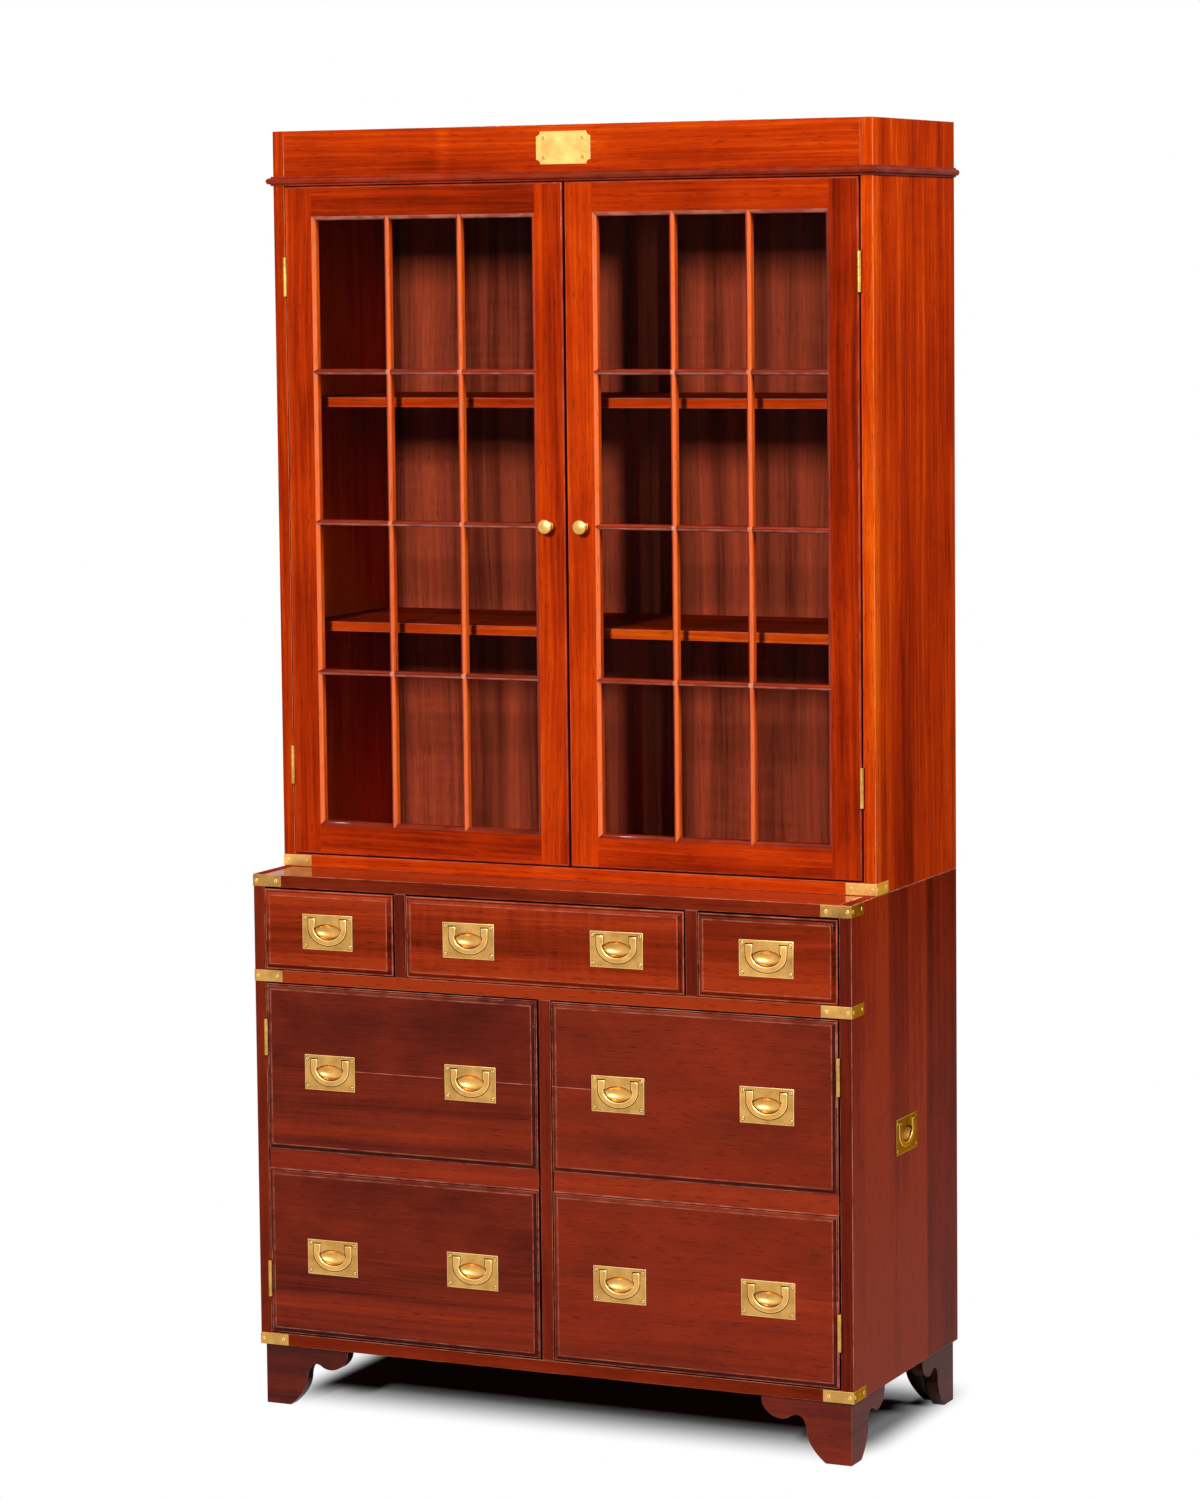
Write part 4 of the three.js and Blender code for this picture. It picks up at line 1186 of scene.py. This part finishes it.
class BOOKCASE_OT_glazed_doors(bpy.types.Operator):
    """Dress the two glazed doors with their bars, their glass and their turned knobs"""

    bl_idname = "bookcase.glazed_doors"
    bl_label = "Glazed doors"

    COLUMNS, ROWS = 3, 4
    # The width of the stiles and rails, the rebate behind them and how deep the glass lies
    SIGHT, REBATE, GLASS_DEPTH = 54 * MM, 8 * MM, 13 * MM
    MOULD_DEPTH, MOULD_STEPS = 5 * MM, 6
    # How far from a bar's middle its crossings reach, and where the mitres of its moulding have ended
    HALF_CROSSING, PAST_MITRE = 3.6 * MM, 5.5 * MM
    # The tone, polish and wear of each kind of bar: painted light and shade by the way each face turns,
    # lighter on the upright faces and the lit walls, darker on the level and shaded faces and the other
    # walls, a painted reflection in the wear under the bars and a painted glint at the crossings
    BAR_LIGHT_AND_SHADE = {
        "upright_bar": (0.45, 0.9, 0.25),
        "shaded_bar": (-0.1, 0.3, 0.1),
        "level_bar": (-0.3, 0.2, 0.1),
        "under_bar": (-0.2, 0.8, 0.6),
        "crossing": (0.5, 1.0, 2.0),
        "lit_wall": (0.25, 0.3, 0.1),
        "wall": (-0.32, 0.03, 0.0),
    }
    # The left and right stile and the bottom and top rail of each door, and the tones of their boards
    MEMBERS = (("stile", True), ("stile", False), ("rail", True), ("rail", False))
    MEMBER_TONES = {"left": (-0.10, 0.01, -0.02, -0.15), "right": (0.10, -0.10, -0.10, -0.08)}
    # A knob's half section from its foot to the middle of its head: radius and distance out, in millimetres
    KNOB = (
        (8.0, 0.0), (8.0, 1.6), (7.4, 2.4), (5.2, 3.4), (4.5, 5.0), (4.5, 7.4), (5.4, 9.2), (8.4, 10.8),
        (10.8, 12.2), (11.8, 13.8), (12.0, 15.6), (11.6, 17.2), (10.6, 18.3), (9.2, 18.8), (6.0, 19.5),
        (3.0, 19.9), (0.0, 20.0),
    )

    def execute(self, context):
        for side_name, _ in SIDES:
            body = f"glazed_door_{side_name}"
            self.add_frame(context, f"glazed_frame_{side_name}", side_name, body)
            self.add_glass(f"glass_{side_name}", body)
            self.add_knob(f"knob_{side_name}", body)
        return {"FINISHED"}

    def add_frame(self, context, node, side_name, body):
        """A door's frame and bars from one board, with its panes sunk through and a rebate at the back"""
        low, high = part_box(node)
        columns = pane_limits(low.x + self.SIGHT, high.x - self.SIGHT, self.COLUMNS)
        rows = pane_limits(low.z + self.SIGHT, high.z - self.SIGHT, self.ROWS)
        bm = block(low, high)
        door_round = context.scene.bookcase_wood.door_round
        soften(bm, door_round, segments=4, faces=[face_at(bm, Y, low.y)])
        parts = [face_at(bm, Y, low.y)]
        for axis, panes in ((X, columns), (Z, rows)):
            parts = score(bm, parts, axis, [place for limits in with_mouldings(panes) for place in limits])
        for column in columns:
            for row in rows:
                self.cut_pane(bm, parts, column, row, low.y)
        back = inset(bm, face_at(bm, Y, high.y), self.SIGHT - self.REBATE)
        cells = [push(bm, back, (0, low.y + self.GLASS_DEPTH - high.y, 0))]
        for axis, panes in ((X, columns), (Z, rows)):
            cells = score(bm, cells, axis, [place for pane in panes for place in pane[:2]])
        open_cells = [
            cell for cell in cells
            if any(start < cell.calc_center_median().x < end for start, end, _, _ in columns)
            and any(start < cell.calc_center_median().z < end for start, end, _, _ in rows)
        ]
        bmesh.ops.delete(bm, geom=open_cells, context="FACES")
        bmesh.ops.remove_doubles(bm, verts=bm.verts, dist=2e-6)
        bm = boolean(bm, hinge_notches("upper", side_name), "DIFFERENCE")
        self.score_bars(bm, columns, rows)
        member_tones = dict(zip(self.MEMBERS, self.MEMBER_TONES[side_name]))
        self.lay_frame_grain(bm, node, member_tones, columns, rows)
        dress(node, bm, "upper_mahogany", body, sharp_angle=50.0)

    def cut_pane(self, bm, parts, column, row, front):
        """Sinks one opening through the front, with an ovolo round it"""
        (left, right, left_mould, right_mould), (bottom, top, low_mould, high_mould) = column, row
        centre = Vector(((left + right) / 2, front, (bottom + top) / 2))
        face = nearest(parts, centre)
        parts.remove(face)
        profile = []
        for step in range(1, self.MOULD_STEPS + 1):
            angle = step / self.MOULD_STEPS * math.pi / 2
            profile.append((1 - math.sin(angle), front + self.MOULD_DEPTH * (1 - math.cos(angle))))
        for share, depth in (*profile, (0.0, front + self.GLASS_DEPTH)):
            face = push(bm, face)
            for vert in face.verts:
                x = left - share * left_mould if vert.co.x < centre.x else right + share * right_mould
                z = bottom - share * low_mould if vert.co.z < centre.z else top + share * high_mould
                vert.co = (x, depth, z)
        bmesh.ops.delete(bm, geom=[face], context="FACES_ONLY")

    def score_bars(self, bm, columns, rows):
        """Parts the bars at their crossings, and the long mouldings where the mitres of the bars end"""
        for axis, panes in ((X, columns), (Z, rows)):
            bars = [
                face for face in bm.faces
                if columns[0][0] < face.calc_center_bounds().x < columns[-1][1]
                and rows[0][0] < face.calc_center_bounds().z < rows[-1][1]
            ]
            score(bm, bars, axis, beside_bars(panes, self.HALF_CROSSING))
            bm.normal_update()
            facets = [face for face in bm.faces if -0.99 < face.normal.y < -0.05]
            score(bm, facets, axis, beside_bars(panes, self.PAST_MITRE))

    def lay_frame_grain(self, bm, node, member_tones, columns, rows):
        """Level grain on the rails and level bars, upright grain on the stiles and upright bars, with painted
        light and shade on the bars' faces by the way they turn
        """
        bm.normal_update()
        groups = {}
        for face in bm.faces:
            groups.setdefault(self.member_of(face, columns, rows), []).append(face)
        for (kind, place, along), faces in groups.items():
            seed = f"{node}{kind}{place}"
            if kind in self.BAR_LIGHT_AND_SHADE:
                tone, polish, wear = self.BAR_LIGHT_AND_SHADE[kind]
                lay_grain(bm, seed, along, tone, faces, polish=polish, wear=wear)
            else:
                lay_grain(bm, seed, along, member_tones[kind, place], faces)

    def member_of(self, face, columns, rows):
        """The kind of stile, rail or bar that a face belongs to, which one it is, and how its grain runs"""
        middle, normal = face.calc_center_bounds(), face.normal
        across, upwards = with_mouldings(columns), with_mouldings(rows)
        left_of = middle.x < across[0][0] + SAME_PLACE
        right_of = middle.x > across[-1][1] - SAME_PLACE
        below, over = middle.z < upwards[0][0], middle.z > upwards[-1][1]
        crossed = all(
            any(abs(place - bar) < self.HALF_CROSSING for bar in bar_middles(panes))
            for place, panes in ((middle.x, columns), (middle.z, rows))
        )
        if left_of or right_of:
            return ("stile", left_of, Z)
        if below or over:
            return ("rail", below, X)
        # The bars' faces are sorted by how they turn, for their painted light and shade
        if crossed and normal.y < -0.3:
            return ("crossing", 0, Z)
        if abs(normal.y) < 0.3:
            return ("lit_wall" if normal.x > 0.5 else "wall", 0, X if abs(normal.z) > 0.5 else Z)
        if abs(normal.z) > 0.1:
            return ("level_bar" if normal.z > 0 else "under_bar", round(middle.z, 2), X)
        if abs(normal.x) > 0.1:
            return ("upright_bar" if normal.x > 0 else "shaded_bar", round(middle.x, 2), Z)
        upright = any(start < middle.z < end for start, end in upwards)
        return ("upright_bar", 0, Z) if upright else ("level_bar", 0, X)

    def add_glass(self, node, body):
        bm = block(*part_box(node))
        soften(bm, ROUNDING["glass"], segments=1)
        add_piece(f"{node}_pane", bm, "glass", body, [node])

    def add_knob(self, node, body):
        """A turned knob: a foot, a waist and a slightly domed head with a rounded rim"""
        low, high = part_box(node)
        centre = Vector(((low.x + high.x) / 2, high.y, (low.z + high.z) / 2))
        bm = bmesh.new()
        verts = [bm.verts.new(centre + Vector((radius * MM, -out * MM, 0))) for radius, out in self.KNOB]
        edges = [bm.edges.new(pair) for pair in zip(verts, verts[1:])]
        bmesh.ops.spin(
            bm, geom=[*verts, *edges], cent=centre, axis=(0, 1, 0), angle=math.tau, steps=48, use_merge=True
        )
        bmesh.ops.remove_doubles(bm, verts=bm.verts, dist=1e-6)
        bmesh.ops.holes_fill(bm, edges=bm.edges)
        bmesh.ops.recalc_face_normals(bm, faces=bm.faces)
        lay_sheen(bm, 0.08, rubbed=0.0)
        add_piece(f"{node}_turned", bm, "brass", body, [node], sharp_angle=50.0)


# The radius of the hinges' barrels
BARREL = 3.5 * MM


def hinge_axis(node, side):
    """The axis and the height limits of one hinge, from its solid"""
    low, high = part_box(node)
    inner = low.x if side > 0 else high.x
    return Vector((inner + side * BARREL, low.y + BARREL, 0)), low.z, high.z


def barrel(axis, bottom, top, radius, segments):
    return rod(radius, top - bottom, Matrix.Translation((axis.x, axis.y, (bottom + top) / 2)), segments)


def hinge_notches(prefix, side_name):
    """The round notches in a door's edge, a little larger than the hinge barrels"""
    clear = 0.3 * MM
    notches = []
    for place in ("top", "bottom"):
        axis, bottom, top = hinge_axis(f"hinge_{prefix}_{side_name}_{place}", dict(SIDES)[side_name])
        notches.append(barrel(axis, bottom - clear, top + clear, BARREL + clear, 32))
    return notches


class BOOKCASE_OT_hinges(bpy.types.Operator):
    """Dress the eight butt hinges with their knuckles and leaves"""

    bl_idname = "bookcase.hinges"
    bl_label = "Hinges"

    KNUCKLES, GAP = 5, 0.1 * MM
    # The case leaf's thickness, and where the door leaf starts and ends beside the axis and behind it
    LEAF, LEAF_START, LEAF_END, DOOR_LEAF_DEPTH = 0.9 * MM, 0.9 * MM, 1.3 * MM, 1.5 * MM

    def execute(self, context):
        for prefix, door in (("upper", "glazed_door"), ("base", "panel_door")):
            for side_name, side in SIDES:
                for place in ("top", "bottom"):
                    self.add_hinge(f"hinge_{prefix}_{side_name}_{place}", f"{door}_{side_name}", side)
        return {"FINISHED"}

    def add_hinge(self, node, door, side):
        """One hinge: the case carries its outer knuckles and the middle one, and the door the two between"""
        low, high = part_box(node)
        axis, bottom, top = hinge_axis(node, side)
        length = (top - bottom) / self.KNUCKLES
        outer = low.x if side < 0 else high.x
        case_leaf = (outer, outer - side * self.LEAF)
        door_leaf = (axis.x - side * self.LEAF_START, axis.x - side * self.LEAF_END)
        for body, first, leaf, back, label, stands_for in (
            ("case", 0, case_leaf, high.y, "leaf", [node]),
            (door, 1, door_leaf, axis.y + self.DOOR_LEAF_DEPTH, "door_leaf", ()),
        ):
            bm = bmesh.new()
            for number in range(first, self.KNUCKLES, 2):
                start = bottom + number * length
                knuckle = barrel(axis, start + self.GAP, start + length - self.GAP, BARREL, 24)
                soften(knuckle, ROUNDING["knuckle"], least_angle=60.0)
                join(bm, knuckle)
            lay_sheen(bm, -0.02, rubbed=0.0)
            plate = block((min(leaf), axis.y, bottom), (max(leaf), back, top))
            lay_sheen(plate, -0.3)
            join(bm, plate)
            add_piece(f"{node}_{label}", bm, "brass", body, stands_for)


class BOOKCASE_OT_handles(bpy.types.Operator):
    """Dress the fourteen recessed handles: plates with screws, and their bails"""

    bl_idname = "bookcase.handles"
    bl_label = "Recessed handles"

    def execute(self, context):
        plate = handle_plate()
        bail = flat_outline(bail_points(0.0), BAIL_THICKNESS, ROUNDING["bail"], resolution=12)
        placed(bail, Matrix.Translation((0, BAIL_THICKNESS / 2 - PLATE_THICKNESS - BAIL_PROUD, 0)))
        lay_sheen(bail, 0.06, rubbed=0.3)
        seat_y = SCREW_SUNK * 0.9 - PLATE_THICKNESS
        for name, (spot, turn) in handle_places().items():
            place = Matrix.Translation(spot) @ Matrix.Rotation(turn, 4, "Z")
            label = name.removeprefix("bail_")
            fitted_plate, fitted_bail = placed(plate.copy(), place), placed(bail.copy(), place)
            seats = [place @ Matrix.Translation((across, seat_y, up)) for across, up in SCREW_PLACES]
            add_screws(fitted_plate, name, seats)
            if label.startswith("side"):
                shift(fitted_plate, "tone", SIDE_PAINTED_SHADE)
                shift(fitted_bail, "tone", SIDE_PAINTED_SHADE)
            add_piece(f"plate_{label}", fitted_plate, "brass", self.carrier(label), sharp_angle=35.0)
            add_piece(f"{name}_rounded", fitted_bail, "brass", name, [name], sharp_angle=50.0)
        plate.free()
        bail.free()
        return {"FINISHED"}

    @staticmethod
    def carrier(label):
        kind, place, *_ = label.split("_")
        return {"side": "case", "door": f"panel_door_{place}", "drawer": f"drawer_{place}"}[kind]


class BOOKCASE_OT_straps(bpy.types.Operator):
    """Fit the brass corner straps and the bare name plate"""

    bl_idname = "bookcase.straps"
    bl_label = "Corner straps and name plate"

    # Where the screws sit along each leg, from the corner
    SCREW_SHARES = (0.13, 0.82)

    def execute(self, context):
        brass = context.scene.bookcase_brass
        height = brass.strap_height
        below_top, above_bottom, above_joint = 0.8 * MM, 0.6 * MM, 0.4 * MM
        # Each row's last value is its brass tone: painted light that makes the upper row lighter and the top
        # row of the base darker
        rows = (
            ("base_top", BASE_FRONT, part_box("base_top_board")[1].z - below_top - height, -0.15),
            ("base_middle", BASE_FRONT, (RAIL_BOARD[0].z + RAIL_BOARD[1].z - height) / 2, -0.03),
            ("base_bottom", BASE_FRONT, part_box("base_bottom_board")[0].z + above_bottom, -0.02),
            ("upper_bottom", UPPER_FRONT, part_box("upper_bottom_board")[0].z + above_joint, 0.18),
        )
        for name, front, bottom, tone in rows:
            for side_name, side in SIDES:
                self.add_strap(brass, f"strap_{name}_{side_name}", side, front, bottom, tone)
        self.add_name_plate("name_plate")
        return {"FINISHED"}

    def add_strap(self, brass, name, side, front, bottom, tone):
        """A bent strap: a path round the corner, drawn up to its height and thickened into the wood"""
        leg, height, proud, sunk = brass.strap_leg, brass.strap_height, brass.strap_proud, 0.5 * MM
        corner_x, corner_y = side * (HALF_WIDTH + proud), front - proud
        bm = bmesh.new()
        places = ((corner_x - side * leg, corner_y), (corner_x, corner_y), (corner_x, corner_y + leg))
        path = [bm.verts.new((*place, bottom)) for place in places]
        edges = [bm.edges.new(pair) for pair in zip(path, path[1:])]
        made = bmesh.ops.extrude_edge_only(bm, edges=edges)["geom"]
        raised = [item for item in made if isinstance(item, bmesh.types.BMVert)]
        bmesh.ops.translate(bm, verts=raised, vec=(0, 0, height))
        bm.normal_update()
        if facing(bm, Y, 1, 0.5):
            bmesh.ops.reverse_faces(bm, faces=bm.faces)
        bmesh.ops.solidify(bm, geom=list(bm.faces), thickness=proud + sunk)
        bmesh.ops.recalc_face_normals(bm, faces=bm.faces)
        soften(bm, ROUNDING["strap"])
        lay_sheen(bm, tone)
        # The legs on the sides are darker: painted shade
        lay_sheen(bm, tone - 0.2, [*facing(bm, X, 1), *facing(bm, X, -1)])
        middle = bottom + height / 2
        turn = Matrix.Rotation(side * math.pi / 2, 4, "Z")
        seats = []
        for share in self.SCREW_SHARES:
            on_front = (corner_x - side * leg * share, corner_y + SCREW_SUNK, middle)
            on_side = (corner_x - side * SCREW_SUNK, corner_y + leg * share, middle)
            seats += [Matrix.Translation(on_front), Matrix.Translation(on_side) @ turn]
        add_screws(bm, name, seats)
        add_piece(name, bm, "brass", "case")

    def add_name_plate(self, node):
        """The bare plate on the frieze: its four corners are scooped, with a screw by each of them"""
        low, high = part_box(node)
        scoop, half_width, half_height = 7 * MM, (high.x - low.x) / 2, (high.z - low.z) / 2
        inner, lower, pull = half_width - scoop, half_height - scoop, scoop * (1 - ROUND_SHARE)
        knots = []
        for across, up in ((-1, -1), (1, -1), (1, 1), (-1, 1)):
            level = ((across * inner, up * half_height), (across * inner, up * (lower + pull)))
            upright = ((across * half_width, up * lower), (across * (inner + pull), up * lower))
            in_order = (upright, level) if across == up else (level, upright)
            (first, first_pull), (second, second_pull) = in_order
            knots += [(first, None, first_pull), (second, second_pull, None)]
        middle = (low + high) / 2
        bm = flat_outline(knots, high.y - low.y, ROUNDING["name_plate"], resolution=8)
        placed(bm, Matrix.Translation(middle))
        # The plate is painted lighter than the other brass: painted light
        lay_sheen(bm, 0.16)
        screw_x, screw_z = 33.5 * MM, 15 * MM
        seats = [
            Matrix.Translation((middle.x + across, low.y + SCREW_SUNK, middle.z + up))
            for across in (-screw_x, screw_x)
            for up in (-screw_z, screw_z)
        ]
        add_screws(bm, node, seats, -0.15)
        add_piece(f"{node}_bare", bm, "brass", "case", [node], sharp_angle=40.0)


class BOOKCASE_OT_stage(bpy.types.Operator):
    """Lay the floor, hang the lamps and set up the camera"""

    bl_idname = "bookcase.stage"
    bl_label = "Floor, lamps and camera"

    # Half the floor's width
    FLOOR_HALF = 14.0
    # The floor's full shadow stays this far inside the case's sides and back, and this far behind its front
    SHADOW_INSIDE, SHADOW_START = 50 * MM, 170 * MM
    # Each lamp's place, what it is turned to, its size, and the setting of its power
    LAMPS = {
        "key_lamp": ((0.2, -5.5, 3.22), (0, 0, 1.2), (0.56, 1.0), "key_power"),
        "side_lamp": ((3.42, -0.6, 3.6), (0.5, 0, 1.3), (1.4, 1.4), "side_power"),
        "back_lamp": ((-1.6, 2.9, 4.6), (0, 0.2, 1.0), (1.2, 1.2), "back_power"),
    }
    # The camera that took the photograph, found from the case's own edges
    CAMERA_PLACE = (3.00873, -6.50677, 1.83422)
    YAW, PITCH, ROLL = -0.439, -0.09095, -0.01086
    SENSOR, LENS, SHIFT_X, SHIFT_Y = 36.0, 108.32, 0.01685, -0.04985

    def execute(self, context):
        scene = context.scene
        bm = bmesh.new()
        bmesh.ops.create_grid(bm, x_segments=2, y_segments=2, size=self.FLOOR_HALF)
        mesh = mesh_of(bm)
        side = HALF_WIDTH - self.SHADOW_INSIDE
        low = Vector((-side, BASE_FRONT + self.SHADOW_START, 0))
        high = Vector((side, CASE_BACK - self.SHADOW_INSIDE, 0))
        mesh.materials.append(pale_floor("pale_floor", low, high))
        floor = in_scene("floor", mesh)
        for name, (place, target, size, setting) in self.LAMPS.items():
            lamp = bpy.data.lights.new(name, "AREA")
            lamp.shape, lamp.energy = "RECTANGLE", getattr(scene.bookcase_stage, setting)
            lamp.size, lamp.size_y = size
            holder = in_scene(name, lamp)
            holder.location = place
            holder.rotation_euler = (Vector(target) - Vector(place)).to_track_quat("-Z", "Y").to_euler()
        room = Finish("white_room", "worlds")
        levels = {"Value": room.seen(), "To Min": scene.bookcase_stage.ambient, "To Max": 1.0}
        level = room.node("ShaderNodeMapRange", None, levels)
        white = room.node("ShaderNodeBackground", None, {"Color": (1.0, 1.0, 1.0, 1.0), "Strength": level})
        scene.world = room.shown(white, "ShaderNodeOutputWorld")
        self.set_camera(scene)
        scene.view_settings.view_transform = "Standard"
        return {"FINISHED"}

    def set_camera(self, scene):
        """Aims the camera by its turn about the vertical, its tilt and its lean"""
        data = bpy.data.cameras.new("photograph_view")
        data.sensor_width, data.lens = self.SENSOR, self.LENS
        data.shift_x, data.shift_y = self.SHIFT_X, self.SHIFT_Y
        yaw, pitch, roll = self.YAW, self.PITCH, self.ROLL
        forward = Vector((math.sin(yaw) * math.cos(pitch), math.cos(yaw) * math.cos(pitch), math.sin(pitch)))
        level = Vector((math.cos(yaw), -math.sin(yaw), 0))
        upright = level.cross(forward)
        right = level * math.cos(roll) + upright * math.sin(roll)
        up = upright * math.cos(roll) - level * math.sin(roll)
        turn = Matrix((right, up, -forward)).transposed().to_4x4()
        scene.camera = in_scene("photograph_view", data)
        scene.camera.matrix_world = Matrix.Translation(self.CAMERA_PLACE) @ turn


STEPS = (
    BOOKCASE_OT_stage,
    BOOKCASE_OT_base_case,
    BOOKCASE_OT_feet,
    BOOKCASE_OT_drawers,
    BOOKCASE_OT_panel_doors,
    BOOKCASE_OT_upper_case,
    BOOKCASE_OT_glazed_doors,
    BOOKCASE_OT_hinges,
    BOOKCASE_OT_handles,
    BOOKCASE_OT_straps,
)
GROUPS = {"bookcase_wood": BookcaseWood, "bookcase_brass": BookcaseBrass, "bookcase_stage": BookcaseStage}


class BOOKCASE_PT_sidebar(bpy.types.Panel):
    """Lists the bookcase's settings and the steps that build it"""

    bl_idname = "BOOKCASE_PT_sidebar"
    bl_label = "Bookcase"
    bl_space_type = "VIEW_3D"
    bl_region_type = "UI"
    bl_category = "Bookcase"

    def draw(self, context):
        for group in GROUPS:
            settings = getattr(context.scene, group)
            for name in settings.bl_rna.properties.keys():
                if name not in ("rna_type", "name"):
                    self.layout.prop(settings, name)
        for step in STEPS:
            self.layout.operator(step.bl_idname)


CLASSES = (*GROUPS.values(), *STEPS, BOOKCASE_PT_sidebar)


def register():
    for part in CLASSES:
        bpy.utils.register_class(part)
    for name, group in GROUPS.items():
        setattr(bpy.types.Scene, name, bpy.props.PointerProperty(type=group))


def unregister():
    for name in GROUPS:
        delattr(bpy.types.Scene, name)
    for part in reversed(CLASSES):
        bpy.utils.unregister_class(part)


def main():
    register()
    for step in STEPS:
        group, name = step.bl_idname.split(".")
        getattr(getattr(bpy.ops, group), name)()


if __name__ == "__main__":
    main()
